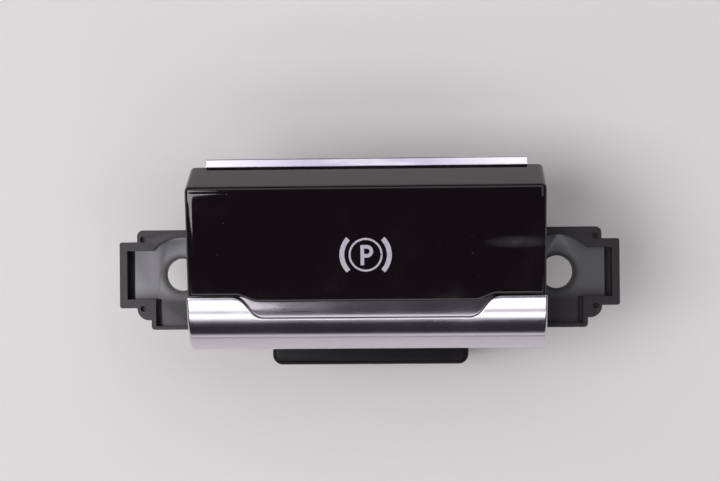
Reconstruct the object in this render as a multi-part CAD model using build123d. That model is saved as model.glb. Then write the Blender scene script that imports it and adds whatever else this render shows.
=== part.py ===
from build123d import *
import math
import os

# Electric parking brake switch: a wide rocking paddle on a steel pin, over a housing with two ears.
# X runs across the console, +Y away from the driver, +Z up. The origin lies midway between the two
# ear holes, on the flat floor that the ears seat by. Millimetres and degrees throughout.

# Paddle, seen from above and from the side
paddle_width = 68.0
paddle_length = 20.4  # top face, rear edge to front edge
paddle_height = 18.0  # top face's rear edge above the ear seats
paddle_rear_y = 16.5
top_fall = 9.4  # the top face falls this much towards the driver
rear_slope_run = 4.3
rear_slope_drop = 8.5
skirt_front_z = 6.5  # lower edge of the side walls and of the lip's underside
cap_wall = 2.0
cap_corner = 0.8
cap_ridge = 0.5
cap_flange = 3.1  # turned-down front edge of the cap
skirt_flat = 2.8  # level part of the skirt's lower edge, over the rear strip

# Front lip trim
lip_gap = 0.3
lip_step = 0.1
lip_overhang = 0.2  # the lip is this much wider than the cap, each side
lip_wall = 1.8
lip_end_wall = 2.0
nose_radius = 8.8
nose_tilt = 22.0  # where the crown turns into the nose
crown_radius = 23.0
nose_reach = 10.4  # lip's rear edge to the front of its nose
curl_radius = 2.6
finger_arch = 1.4
lip_corner = 0.7
scoop_depth = 3.3
scoop_reach = 3.65
scoop_half = 21.0
scoop_ramp = 3.2
scoop_blend = 3.0
scoop_cove = 2.2
tongue_reach = 1.25
tongue_depth = 2.3
scoop_wall = 1.6
scoop_run_out = 0.9  # past the cap's front edge

# Rear trim strip
strip_length = 62.0
strip_overhang = 1.7
strip_plate = 1.4
strip_leg = 3.9
strip_edge = 0.4
strip_tuck = 2.2  # how far the strip reaches in under the cap
strip_fall = 8.0  # degrees that its shown face falls to the rear
strip_end_gap = 0.3

# Paddle carrier
seat_gap = 0.1
carrier_plate = 1.8
arm_rear_reach = 1.5  # arm behind the rear plungers
web_clearance = 0.3  # front web over the tower when the paddle is pushed
arm_thickness = 2.4
leg_thickness = 3.0
foot_radius = 1.5
pivot_boss = 3.8
arm_floor = 2.6
snap_depth = 0.6
snap_width = 7.0
snap_height = 1.8
snap_rise = 1.5  # above the middle between the arm's lower edge and the cap's flange
snap_slack = 0.15
rib_over_pin = 0.6  # clear height of the foot ribs above the pivot boss

# Pivot and travel
pin_radius = 1.5
pin_chamfer = 0.3
pivot_forward = 0.5  # the pin lies this much in front of the middle between the plungers
boss_clearance = 0.2
press_clearance = 0.01
running_clearance = 0.05
pull_angle = 8.0
push_angle = 6.0
stop_clearance = 0.05

# Symbol and its light
symbol_inset = 7.6  # behind the cap's front edge
diffuser_width = 13.0
diffuser_length = 9.0
diffuser_thickness = 1.0
window_rim = 1.1
guide_width = 9.0
guide_length = 4.6
guide_top_z = 9.9
guide_foot = 4.4
guide_flange = 1.3
guide_flange_height = 1.2
guide_flange_gap = 0.15
guide_foot_inset = 0.2
guide_head_inset = 0.3
guide_lamp_gap = 0.3
guide_well_gap = 0.15
diffuser_corner = 1.0

# Plungers, springs and domes
plunger_head = 2.6
plunger_head_height = 1.6
plunger_stem = 1.6
plunger_tip = 1.1
plunger_tip_taper = 0.8
plunger_clearance = 0.1
plunger_front_room = 0.2
plunger_rear_room = 0.6
foot_clearance = 0.05
spring_wire = 0.5
spring_turns = 3
spring_clearance = 0.25
dome_radius = 2.65
dome_height = 2.0
dome_skin = 0.5
dome_pill = 1.2
dome_gap = 0.35
dome_room = 0.7  # hollow height under the dome's thick top
mat_thickness = 0.8
mat_margin = 1.5
mat_corner = 1.0
mat_gap = 0.05

# Housing
housing_wall = 1.6
tower_side = 3.0
tower_gap = 0.4
tower_inset = 3.5  # behind the cap's front edge
tower_rear_y = 20.8
tower_front_z = 8.4
tower_rear_z = 3.6
tower_shoulder_drop = 1.3  # below the top of the pivot boss
tower_shoulder_front = 1.0
tower_shoulder_rear = 0.5
plate_thickness = 3.0
deck_z = -4.5
deck_thickness = 2.0
split_z = -10.0
finger_floor_z = -8.0
finger_floor_front_y = -18.7
base_z = -27.0
tube_wall = 1.1
tube_length = 2.6
column_radius = 2.6
column_margin = 0.4
rib_gap = 0.6  # between the plunger tubes and the columns, and beside the light guide
cover_corner = 2.0
cover_draft = 1.0  # degrees
cover_base_edge = 0.6
board_ledge = 1.8
board_ledge_width = 1.4
board_ledge_front = 2.0  # behind the socket's middle
board_ledge_rear = 5.0  # in front of the rear plungers
cover_opening_depth = 4.0
shelf_edge = 1.2

# Ears, measured from each hole
ear_hole_radius = 3.25
ear_hole_offset = 3.3  # hole outboard of the paddle's side
ear_tip = 12.1
ear_tab_half = 6.55
ear_shoulder = 8.6
ear_rear = 8.9
ear_front = 10.85
ear_front_corner = 5.8
ear_lobe = 2.4
ear_corner = 1.2
ear_rim = 1.6
ear_rim_inboard = 0.8  # the rim starts this far outboard of the paddle's side
ear_seat_radius = 7.4
ear_seat_half = 4.8
ear_seat_reach = 9.3
ear_slot_width = 1.3
ear_slot_depth = 2.0
ear_channel = 4.0
ear_channel_groove = 0.9
ear_channel_wall = 0.7
ear_front_round = 0.7
ear_tip_round = 0.5
ear_pit_radius = 0.6
ear_pit_depth = 1.2
ear_pit_inset = 1.2
ear_pit_rear = 0.5
ear_pit_front = 0.1
ear_lobe_flat = 0.1
gusset_thickness = 1.6
gusset_drop = 5.0
gusset_tip = 0.6
gusset_inset = 1.7
gusset_root = 3.0

# Electronics
board_thickness = 1.6
board_z = -12.0  # top face
board_clearance = 0.4
header_width = 24.0
header_depth = 10.4
header_wall = 1.3
header_web = 3.2
header_y = -8.0
header_recess = 0.5
header_corner = 0.8
cover_opening_gap = 0.25
contact_pitch = 3.6
contact_row = 3.6
contacts_per_row = 4
contact_size = 0.64
contact_slack = 0.02
contact_reach = 6.4
contact_solder = 0.9
contact_taper = 0.2
keyway_width = 1.6
keyway_wall = 0.5
chip_overhang = 1.0  # chip in front of the symbol's middle
led_length = 3.5
led_width = 2.8
led_height = 1.5
led_spacing = 4.4
led_cup_radius = 1.1
led_cup_depth = 0.5
led_clearance = 0.4
chip_size = (6.0, 5.0, 1.6)
passive_size = (1.6, 2.4, 0.7)
passive_x = (8.0, 11.0)
capacitor_radius = 2.0
capacitor_height = 3.0
capacitor_place = (-9.5, 7.5)  # from the symbol's middle
diode_size = (4.0, 2.6, 1.8)
diode_place = (9.0, 7.3)

# Fasteners and stops
screw_head_radius = 2.4
screw_head_height = 1.6
screw_shank_radius = 1.1
screw_pilot_radius = 1.12
screw_length = 11.3  # under the head
screw_sink = 0.6
screw_clearance = 0.15
screw_run_out = 1.0  # pilot hole past the screw's tip
column_split_z = -19.0
pad_length = 4.0
pad_height = 1.2
pad_sink = 0.4
pad_border = 0.8
pad_edge = 0.3
toe_inset = 8.9  # pivot to the front stop
heel_inset = 6.0  # pivot to the rear stop

# Sizes worked out from those above
cap_half = paddle_width / 2
cap_front_y = paddle_rear_y - paddle_length
fall = math.tan(math.radians(top_fall))
cap_front_z = paddle_height - paddle_length * fall
skirt_rear_z = paddle_height - rear_slope_drop
skirt_rear_y = paddle_rear_y + rear_slope_run
lip_half = cap_half + lip_overhang
lip_rear_y = cap_front_y - lip_gap
lip_top_z = cap_front_z - lip_step
nose_y = lip_rear_y - nose_reach + nose_radius
flange_z = cap_front_z - cap_flange
arm_outer = cap_half - cap_wall - seat_gap
arm_inner = arm_outer - arm_thickness
symbol_y = cap_front_y + symbol_inset
tower_front_y = cap_front_y + tower_inset
release_y = tower_front_y + housing_wall + plunger_head + plunger_front_room
apply_y = tower_rear_y - housing_wall - plunger_head - plunger_rear_room
pivot_y = (release_y + apply_y) / 2 - pivot_forward
pivot_z = pivot_boss + boss_clearance
pads_rear_y = pivot_y + heel_inset + pad_length / 2 + pad_border
tower_half = arm_inner - tower_gap
tower_inner = tower_half - tower_side
hole_x = cap_half + ear_hole_offset
head_top_z = pivot_z - foot_radius - foot_clearance
head_base_z = head_top_z - plunger_head_height
dome_top_z = board_z + dome_height
tube_radius = plunger_stem + plunger_clearance + tube_wall
plunger_x = guide_width / 2 + guide_flange + plunger_head + rib_gap
column_x = plunger_x + tube_radius + column_radius + column_margin + rib_gap
body_half = column_x + column_radius + housing_wall + column_margin
body_inner = body_half - housing_wall
body_front_y = finger_floor_front_y
body_rear_y = tower_rear_y
column_front_y = body_front_y + housing_wall + column_radius + column_margin
column_rear_y = body_rear_y - housing_wall - column_radius - column_margin
screw_tip_z = base_z + screw_sink + screw_head_height + screw_length
columns = [(side * column_x, y) for side in (-1, 1) for y in (column_front_y, column_rear_y)]
plungers = {
    "release_left": (-plunger_x, release_y),
    "release_right": (plunger_x, release_y),
    "apply_left": (-plunger_x, apply_y),
    "apply_right": (plunger_x, apply_y),
}
far = 60.0  # past every edge, for cutting shapes
overlap = 0.5  # how far joined forms run into each other
bite = 1.0  # how far a cut or a joined form goes past a face
near = 0.01  # two places closer than this are the same


# Helpers
def polygon(*points):
    """A closed flat face through the points, on the XY plane."""
    return make_face(Polyline(*points, close=True))


def across(section, half):
    """A (y, z) section carried across the console, from -half to +half."""
    return extrude(Plane.YZ * section, amount=half, both=True)


def slab(section, x_low, x_high):
    """A (y, z) section carried from x_low to x_high."""
    return Pos(x_low, 0, 0) * extrude(Plane.YZ * section, amount=x_high - x_low)


def block(x_low, x_high, y_low, y_high, z_low, z_high):
    """A box by its limits."""
    size = (x_high - x_low, y_high - y_low, z_high - z_low)
    middle = ((x_low + x_high) / 2, (y_low + y_high) / 2, (z_low + z_high) / 2)
    return Pos(*middle) * Box(*size)


def post(x, y, radius, z_low, z_high):
    """An upright cylinder by its limits."""
    return Pos(x, y, (z_low + z_high) / 2) * Cylinder(radius, z_high - z_low)


def rectangle(y_low, y_high, z_low, z_high):
    """A flat rectangle by its limits."""
    return polygon((y_low, z_low), (y_high, z_low), (y_high, z_high), (y_low, z_high))


def both_sides(shape):
    """The shape and its mirror image across the middle."""
    return shape + mirror(shape, about=Plane.YZ)


def top_z(y):
    """Height of the paddle's top face at a given y."""
    return paddle_height - (paddle_rear_y - y) * fall


# Paddle sections
def wedge(inset):
    """Side outline of the paddle, open-ended downwards, moved in by inset."""
    low = -20.0
    rear_low_y = paddle_rear_y + (paddle_height - low) * rear_slope_run / rear_slope_drop
    outline = polygon(
        (cap_front_y, low), (cap_front_y, cap_front_z), (paddle_rear_y, paddle_height), (rear_low_y, low)
    )
    return offset(outline, amount=-inset, kind=Kind.INTERSECTION) if inset else outline


def above_skirt():
    """Everything above the sloping lower edge of the side walls."""
    return polygon(
        (cap_front_y - tongue_reach - 1, skirt_front_z),
        (cap_front_y, skirt_front_z),
        (skirt_rear_y - skirt_flat, skirt_rear_z),
        (skirt_rear_y + 1, skirt_rear_z),
        (skirt_rear_y + 1, far),
        (cap_front_y - tongue_reach - 1, far),
    )


def nose_section():
    """Bull-nosed section of the lip: crown, nose, curl, finger arch and a flat back."""
    tilt = math.radians(nose_tilt)
    start = math.degrees(
        math.asin((nose_y - nose_radius * math.sin(tilt) + crown_radius * math.sin(tilt) - lip_rear_y)
                  / crown_radius)
    )
    rise = (crown_radius * math.cos(math.radians(start))
            - crown_radius * math.cos(tilt) + nose_radius * math.cos(tilt))
    nose_z = lip_top_z - rise
    crown_centre = (
        nose_y + (crown_radius - nose_radius) * math.sin(tilt),
        nose_z - (crown_radius - nose_radius) * math.cos(tilt),
    )
    curl_centre = (nose_y - nose_radius + curl_radius, nose_z)
    low = (curl_centre[0], nose_z - curl_radius)
    back = (lip_rear_y, skirt_front_z)
    run, climb = back[0] - low[0], back[1] - low[1]
    chord = math.hypot(run, climb)
    arch = (
        (low[0] + back[0]) / 2 - finger_arch * climb / chord,
        (low[1] + back[1]) / 2 + finger_arch * run / chord,
    )
    crown = CenterArc(crown_centre, crown_radius, 90 + start, nose_tilt - start)
    nose = CenterArc((nose_y, nose_z), nose_radius, 90 + nose_tilt, 90 - nose_tilt)
    curl = CenterArc(curl_centre, curl_radius, 180, 90)
    under = ThreePointArc(low, arch, back)
    rear = Line(back, (lip_rear_y, lip_top_z))
    return make_face([crown, nose, curl, under, rear])


def lip_core(inset):
    """Everything behind and below the lip's skin, moved in by inset."""
    nose = nose_section()
    box = nose.bounding_box()
    low_y = nose_y - nose_radius + curl_radius
    behind = rectangle(lip_rear_y - overlap, lip_rear_y + 2 * lip_wall + 3, box.min.Y - 5, lip_top_z)
    below = rectangle(low_y, lip_rear_y + 2 * lip_wall + 3, box.min.Y - 5, skirt_front_z + 1)
    return offset(nose + behind + below, amount=-inset, kind=Kind.INTERSECTION)


def scoop(grow):
    """Cutter for the shallow scoop between cap and lip, made larger all round by grow."""
    side = lip_rear_y + 0.05
    plan = polygon(
        (-far, far),
        (-far, side),
        (-scoop_half - scoop_ramp, side),
        (-scoop_half, side - scoop_reach),
        (scoop_half, side - scoop_reach),
        (scoop_half + scoop_ramp, side),
        (far, side),
        (far, far),
    )
    bends = [v for v in plan.vertices() if abs(v.X) < far - 1]
    plan = fillet(bends, scoop_blend)
    floor = cap_front_z - scoop_depth
    reach = block(-far, far, -far, cap_front_y + scoop_run_out, -far, 2 * far)
    if grow:
        return Pos(0, 0, floor - grow) * extrude(offset(plan, amount=grow), amount=far) & reach
    cutter = Pos(0, 0, floor) * extrude(plan, amount=far)
    low_edges = cutter.edges().group_by(Axis.Z)[0]
    rim = [e for e in low_edges if e.center().Y < cap_front_y and abs(e.center().X) < far - 1]
    return fillet(rim, scoop_cove) & reach


# Paddle pieces
def paddle_cap():
    """Gloss cover: a thin wedge with a tongue at its front edge and snap pockets inside its sides."""
    tongue_z = cap_front_z - tongue_depth
    wide = wedge(0) + rectangle(cap_front_y - tongue_reach, cap_front_y + overlap, tongue_z, cap_front_z)
    tongue_top = polygon(
        (cap_front_y - tongue_reach, top_z(cap_front_y - tongue_reach)),
        (cap_front_y - tongue_reach, far),
        (cap_front_y + bite, far),
        (cap_front_y + bite, top_z(cap_front_y + bite)),
    )
    solid = across((wide & above_skirt()) - tongue_top, cap_half)
    plan = polygon(
        (-cap_half, cap_front_y),
        (-scoop_half - scoop_ramp, cap_front_y),
        (-scoop_half, cap_front_y - tongue_reach),
        (scoop_half, cap_front_y - tongue_reach),
        (scoop_half + scoop_ramp, cap_front_y),
        (cap_half, cap_front_y),
        (cap_half, far),
        (-cap_half, far),
    )
    bends = [v for v in plan.vertices() if abs(v.X) < cap_half - 1]
    solid = solid & (Pos(0, 0, -far / 2) * extrude(fillet(bends, scoop_blend), amount=2 * far))
    solid = fillet(side_edges(solid), cap_corner)
    solid = fillet(solid.edges().filter_by(Axis.X).group_by(Axis.Z)[-1], cap_ridge)
    hollow = wedge(cap_wall) + rectangle(cap_front_y - far, cap_front_y + cap_wall, -far, flange_z)
    solid = solid - across(hollow, cap_half - cap_wall)
    return solid - both_sides(snap(snap_slack))


def side_edges(solid):
    """Edges down each side of the cap where its top and rear faces meet its sides."""
    found = []
    for edge in solid.edges():
        middle = edge.center()
        on_side = abs(abs(middle.X) - cap_half) < near
        if on_side and middle.Z > skirt_rear_z and abs(middle.Y - cap_front_y) > overlap:
            found.append(edge)
    return found


def snap(grow):
    """Wedge-shaped lug on the carrier's side, or with grow the pocket that takes it."""
    z_low = (arm_floor + flange_z) / 2 + snap_rise
    tip = arm_outer + snap_depth + seat_gap + grow
    lug = polygon(
        (arm_outer - overlap, z_low - grow),
        (tip, z_low - grow),
        (arm_outer - overlap, z_low + snap_height + grow),
    )
    lug = extrude(Plane.XZ * lug, amount=snap_width / 2 + grow, both=True)
    return Pos(0, pivot_y, 0) * lug


def front_lip_trim():
    """Plated lip that the fingers pull: a bull-nosed shell with closed ends and a scooped top."""
    solid = across(nose_section(), lip_half)
    ends = [e for e in solid.edges() if abs(abs(e.center().X) - lip_half) < near]
    ends = [e for e in ends if e.center().Y < lip_rear_y - 0.1 and e.center().Z > skirt_front_z - 3]
    solid = fillet(ends, lip_corner)
    hollow = across(lip_core(lip_wall), lip_half - lip_end_wall) - scoop(scoop_wall)
    return solid - scoop(0) - hollow


def rear_trim_strip():
    """Bright strip along the paddle's rear edge, an angle section tucked under the cap."""
    top = skirt_rear_z - seat_gap
    inner_y = skirt_rear_y + seat_gap - strip_tuck
    rear_y = skirt_rear_y + strip_overhang
    shown_top = top - strip_overhang * math.tan(math.radians(strip_fall))
    angle = polygon(
        (inner_y, top - strip_plate),
        (inner_y, top),
        (skirt_rear_y, top),
        (rear_y, shown_top),
        (rear_y, top - strip_leg),
        (rear_y - strip_plate, top - strip_leg),
        (rear_y - strip_plate, top - strip_plate),
    )
    solid = across(angle, strip_length / 2)
    rear_edges = [e for e in solid.edges() if e.center().Y > rear_y - 0.1]
    return fillet(rear_edges, strip_edge)


def stop_centre(reach, angle):
    """Height of a round stop, reach from the pivot, that meets its pad at the given angle."""
    pad_top = pad_height - pad_sink
    turn = math.radians(angle)
    rise = pad_top + stop_clearance + foot_radius - pivot_z + reach * math.sin(turn)
    return pivot_z + rise / math.cos(turn)


def carrier_arm():
    """Side arm section: a plate under the cap with the pivot boss and two round stops."""
    plate = wedge(cap_wall + seat_gap) & rectangle(
        cap_front_y + cap_wall, apply_y + arm_rear_reach, arm_floor, far
    )
    plate += Pos(pivot_y, pivot_z) * Circle(pivot_boss)
    for y, z in (
        (pivot_y - toe_inset, stop_centre(toe_inset, push_angle)),
        (pivot_y + heel_inset, stop_centre(heel_inset, pull_angle)),
    ):
        plate += Pos(y, z) * Circle(foot_radius)
    return plate - Pos(pivot_y, pivot_z) * Circle(pin_radius + running_clearance)


def carrier_leg():
    """Rib that joins a front and a rear foot to the roof, arched over the pin."""
    roof = wedge(cap_wall + seat_gap)
    legs = Sketch() + [
        rectangle(y - foot_radius, y + foot_radius, pivot_z, far) for y in (release_y, apply_y)
    ]
    rib = rectangle(release_y, apply_y, pivot_z + pivot_boss + rib_over_pin, far)
    feet = Sketch() + [Pos(y, pivot_z) * Circle(foot_radius) for y in (release_y, apply_y)]
    return ((legs + rib) & roof) + feet


def paddle_carrier():
    """Black frame inside the paddle: roof, arms to the pin, feet over the plungers, beam in the lip."""
    inset = cap_wall + seat_gap
    roof = wedge(inset) - wedge(inset + carrier_plate)
    inner_front = cap_front_y + inset + carrier_plate
    web_z = tower_front_z + web_clearance + (pivot_y - tower_front_y) * math.sin(math.radians(push_angle))
    roof = roof & rectangle(cap_front_y, skirt_rear_y, web_z, far)
    web_rear = cap_front_y + cap_wall
    web = rectangle(lip_rear_y + seat_gap, web_rear, skirt_front_z, flange_z - seat_gap)
    web += rectangle(web_rear, inner_front, web_z, flange_z - seat_gap)
    web += rectangle(cap_front_y + inset, inner_front, web_z, flange_z + bite)
    rear_wall = wedge(inset) - wedge(inset + carrier_plate)
    strip_top = skirt_rear_z - seat_gap
    ledge_low = strip_top - strip_plate - carrier_plate
    rear_wall = rear_wall & rectangle(apply_y, skirt_rear_y, ledge_low, web_z + bite)
    step_y = skirt_rear_y + seat_gap - strip_tuck
    rear_wall = rear_wall & rectangle(apply_y, step_y - 0.02, ledge_low, far)
    shelf_rear = skirt_rear_y + strip_overhang - strip_plate - seat_gap
    shelf = rectangle(step_y - carrier_plate, shelf_rear, ledge_low, strip_top - strip_plate)
    solid = across(roof + web + rear_wall, arm_outer)
    solid += across(shelf, strip_length / 2 - strip_end_gap)
    solid += both_sides(slab(carrier_arm(), arm_inner, arm_outer))
    solid += both_sides(slab(carrier_leg(), plunger_x - leg_thickness / 2, plunger_x + leg_thickness / 2))
    joint = rectangle(lip_rear_y - bite, lip_rear_y + bite, skirt_front_z, flange_z - seat_gap)
    beam = (nose_section() + joint) & lip_core(lip_wall + seat_gap)
    solid += across(beam, arm_outer)
    solid = solid - scoop(scoop_wall + seat_gap)
    solid += both_sides(snap(0))
    rebate, window = symbol_pocket()
    return solid - rebate - window


def symbol_frame(depth):
    """Plane parallel to the top face, below the symbol by depth."""
    turn = math.radians(top_fall)
    normal = (0, -math.sin(turn), math.cos(turn))
    origin = (0, symbol_y + depth * math.sin(turn), top_z(symbol_y) - depth * math.cos(turn))
    return Plane(origin=origin, x_dir=(1, 0, 0), z_dir=normal)


def symbol_pocket():
    """Rebate for the diffuser, and the window below it that lets the light through."""
    top = symbol_frame(cap_wall)
    rebate = top * (Pos(0, 0, -diffuser_thickness / 2) * Box(
        diffuser_width + 2 * seat_gap, diffuser_length + 2 * seat_gap, diffuser_thickness + 2 * seat_gap
    ))
    window = top * Box(diffuser_width - 2 * window_rim, diffuser_length - 2 * window_rim, far / 4)
    return rebate, window


def symbol_diffuser():
    """Milky plate behind the symbol, held in the carrier's rebate."""
    plate = Pos(0, 0, -diffuser_thickness / 2) * Box(diffuser_width, diffuser_length, diffuser_thickness)
    plate = fillet(plate.edges().filter_by(Axis.Z), diffuser_corner)
    return symbol_frame(cap_wall + seat_gap) * plate


# Housing pieces
def corners_at(outline, x):
    """Corners of a flat outline that lie at x."""
    return [v for v in outline.vertices() if abs(v.X - x) < near]


def ear_outline():
    """Outline of the right ear and its root, from the middle of the housing outwards."""
    x = hole_x
    outline = polygon(
        (0, -ear_front),
        (x + ear_front_corner, -ear_front),
        (x + ear_front_corner, -ear_tab_half - ear_lobe),
        (x + ear_shoulder, -ear_tab_half - ear_lobe),
        (x + ear_shoulder, -ear_tab_half),
        (x + ear_tip, -ear_tab_half),
        (x + ear_tip, ear_tab_half),
        (x + ear_shoulder, ear_tab_half),
        (x + ear_shoulder, ear_rear),
        (0, ear_rear),
    )
    lobe = [v for v in corners_at(outline, x + ear_shoulder) if v.Y < -ear_tab_half - bite]
    outline = fillet(lobe, ear_lobe - ear_lobe_flat)
    corner = [v for v in corners_at(outline, x + ear_shoulder) if v.Y > ear_tab_half + bite]
    outline = fillet(corner, ear_corner)
    front = [v for v in corners_at(outline, x + ear_front_corner) if v.Y < -ear_front + near]
    outline = fillet(front, ear_front_round)
    return fillet(corners_at(outline, x + ear_tip), ear_tip_round)


def ear_seat():
    """Sunk floor of the right ear: a round seat for the console's boss, a tab and a front channel."""
    x = hole_x
    seat = Pos(x, 0) * Circle(ear_seat_radius)
    tab = Pos(x + ear_seat_reach / 2, 0) * Rectangle(ear_seat_reach, 2 * ear_seat_half)
    channel = rectangle(x - far, x + ear_channel, -ear_front + ear_channel_wall, -ear_seat_half)
    rear_half = Pos(x, far / 2 - ear_seat_half) * Rectangle(2 * far, far)
    return (seat & rear_half) + tab + (channel & (Pos(x, -far / 2) * Rectangle(2 * far, far)))


def ear():
    """The right ear: plate, raised rim, sunk seat, slot, groove, pits and screw hole."""
    rim_low = cap_half + ear_rim_inboard
    root = tower_half - bite
    plate = extrude(ear_outline(), amount=-plate_thickness)
    rim = extrude(ear_outline() - ear_seat(), amount=ear_rim)
    rim = rim & block(rim_low, far * 2, -far, far, -bite, far)
    solid = (plate & block(root, far * 2, -far, far, -far, far)) + rim
    slot_x = hole_x + ear_seat_reach + ear_slot_width / 2
    slot_half = ear_slot_width / 2
    solid = solid - block(
        slot_x - slot_half, slot_x + slot_half, -ear_seat_half, ear_seat_half, -ear_slot_depth, far
    )
    groove_x = hole_x + ear_channel
    solid = solid - block(
        groove_x, groove_x + ear_channel_groove,
        -ear_front + ear_channel_wall, -ear_seat_half, -ear_slot_depth / 2, far,
    )
    pit_x = hole_x + ear_shoulder - ear_pit_inset
    for y in (ear_tab_half + ear_pit_rear, -ear_tab_half - ear_pit_front):
        solid = solid - post(pit_x, y, ear_pit_radius, ear_rim - ear_pit_depth, ear_rim + bite)
    return solid - post(hole_x, 0, ear_hole_radius, -far, far)


def gusset(y):
    """Tapered rib under the right ear."""
    rib = polygon(
        (tower_half - gusset_root, -plate_thickness + overlap),
        (hole_x + ear_front_corner, -plate_thickness + overlap),
        (hole_x + ear_front_corner, -plate_thickness - gusset_tip),
        (tower_half - overlap, -plate_thickness - gusset_drop),
        (tower_half - gusset_root, -plate_thickness - gusset_drop),
    )
    return Pos(0, y, 0) * extrude(Plane.XZ * rib, amount=gusset_thickness / 2, both=True)


def tower():
    """Open-topped box that carries the pin: high at the pin, low at the rear where the paddle dips."""
    floor = deck_z - deck_thickness
    shoulder_z = pivot_z + pivot_boss - tower_shoulder_drop
    profile = polygon(
        (tower_front_y, floor),
        (tower_front_y, tower_front_z),
        (tower_front_y + housing_wall, tower_front_z),
        (pivot_y - pivot_boss - tower_shoulder_front, shoulder_z),
        (pivot_y + pivot_boss - tower_shoulder_rear, shoulder_z),
        (apply_y + bite, tower_rear_z),
        (tower_rear_y, tower_rear_z),
        (tower_rear_y, floor),
    )
    profile += Pos(pivot_y, pivot_z) * Circle(pivot_boss)
    solid = across(profile, tower_half)
    inside = rectangle(tower_front_y + housing_wall, tower_rear_y - housing_wall, deck_z, far)
    solid = solid - across(inside, tower_inner)
    return solid - across(Pos(pivot_y, pivot_z) * Circle(pin_radius + press_clearance), far)


def upper_housing():
    """Main moulding: ears, tower, deck with guide tubes, finger shelf and the screw columns."""
    right = ear() + gusset(ear_rear - gusset_inset) + gusset(-ear_front + gusset_inset)
    side_plate = block(
        body_half - housing_wall, cap_half - bite, -ear_front, pads_rear_y, -plate_thickness, 0
    )
    side_plate += block(
        body_half - housing_wall, body_half, -ear_front, tower_front_y + bite, split_z, 0
    )
    side_plate += block(
        body_half - housing_wall, body_half, tower_front_y, body_rear_y, split_z, deck_z
    )
    solid = both_sides(right + side_plate) + tower()
    shelf = block(-body_half, body_half, body_front_y, tower_front_y + bite, split_z, finger_floor_z)
    shelf = fillet(shelf.edges().group_by(Axis.Y)[0].filter_by(Axis.Z), cover_corner)
    shelf = fillet(shelf.faces().sort_by(Axis.Y)[0].edges().group_by(Axis.Z)[-1], shelf_edge)
    solid += shelf
    solid += block(-body_half, body_half, tower_front_y, tower_front_y + housing_wall, split_z, deck_z)
    solid += block(-body_half, body_half, body_rear_y - housing_wall, body_rear_y, split_z, deck_z)
    for x, y in columns:
        top = finger_floor_z if y < 0 else deck_z
        solid += post(x, y, column_radius, column_split_z, top)
    for x, y in plungers.values():
        solid += post(x, y, tube_radius, deck_z - deck_thickness - tube_length, deck_z)
    for x, y in plungers.values():
        solid = solid - post(x, y, plunger_stem + plunger_clearance, -far, 0)
    for x, y in columns:
        solid = solid - post(x, y, screw_pilot_radius, -far, screw_tip_z + screw_run_out)
    well = Pos(0, symbol_y) * Rectangle(guide_width + 2 * guide_well_gap, guide_length + 2 * guide_well_gap)
    well_depth = deck_thickness + bite
    solid = solid - Pos(0, 0, deck_z - well_depth) * extrude(well, amount=2 * well_depth)
    for x, y in pad_places():
        solid = solid - block(
            x - arm_thickness / 2, x + arm_thickness / 2,
            y - pad_length / 2, y + pad_length / 2, -pad_sink, tower_front_z,
        )
    return solid


def pad_places():
    """Middles of the four rubber stops, under the toes and heels of the arms."""
    middle = (arm_inner + arm_outer) / 2
    return [(side * middle, y) for side in (-1, 1) for y in (pivot_y - toe_inset, pivot_y + heel_inset)]


def bump_stops():
    """Four rubber pads that end the paddle's travel."""
    pads = []
    for x, y in pad_places():
        pad = block(
            x - arm_thickness / 2, x + arm_thickness / 2, y - pad_length / 2, y + pad_length / 2,
            -pad_sink, pad_height - pad_sink,
        )
        pads.append(chamfer(pad.edges().group_by(Axis.Z)[-1], pad_edge))
    return pads


def cover_form(inset, depth):
    """Drafted block of the cover's plan, moved in by inset and taken down from the split by depth."""
    plan = Pos(0, (body_front_y + body_rear_y) / 2, split_z) * Rectangle(
        2 * (body_half - inset), body_rear_y - body_front_y - 2 * inset
    )
    if not inset:
        plan = fillet(plan.vertices(), cover_corner)
    return extrude(plan, amount=-depth, taper=cover_draft)


def lower_cover():
    """Bucket that closes the housing from below, with screw sockets, board ledges and a socket opening."""
    solid = cover_form(0, split_z - base_z)
    solid = chamfer(solid.edges().group_by(Axis.Z)[0], cover_base_edge)
    solid = solid - cover_form(housing_wall, split_z - base_z - housing_wall)
    board_low = board_z - board_thickness
    for side in (-1, 1):
        for y in (header_y + board_ledge_front, apply_y - board_ledge_rear):
            edge = side * (body_inner - board_ledge / 2)
            solid += block(
                edge - board_ledge / 2, edge + board_ledge / 2,
                y - board_ledge_width / 2, y + board_ledge_width / 2,
                base_z + housing_wall / 2, board_low,
            )
    for x, y in columns:
        solid += post(x, y, column_radius, base_z, column_split_z - seat_gap)
    for x, y in columns:
        head_z = base_z + screw_sink + screw_head_height
        solid = solid - post(x, y, screw_head_radius + screw_clearance, base_z - bite, head_z)
        solid = solid - post(x, y, screw_shank_radius + screw_clearance, base_z, column_split_z + bite)
    gap = cover_opening_gap
    return solid - block(
        -header_width / 2 - gap, header_width / 2 + gap,
        header_y - header_depth / 2 - gap, header_y + header_depth / 2 + gap,
        base_z - bite, base_z + cover_opening_depth,
    )


# Pin, plungers, springs and domes
def pivot_pin():
    """Steel pin: pressed into the tower, and held endways by the cap's side walls."""
    length = 2 * arm_outer
    pin = Cylinder(pin_radius, length, rotation=(0, 90, 0))
    pin = chamfer(pin.edges().filter_by(GeomType.CIRCLE), pin_chamfer)
    return Pos(0, pivot_y, pivot_z) * pin


def turned(points, x, y):
    """A half-section of (radius, z) points spun about the upright axis through x, y."""
    return Pos(x, y, 0) * revolve(Plane.XZ * polygon(*points), Axis.Z)


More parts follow.
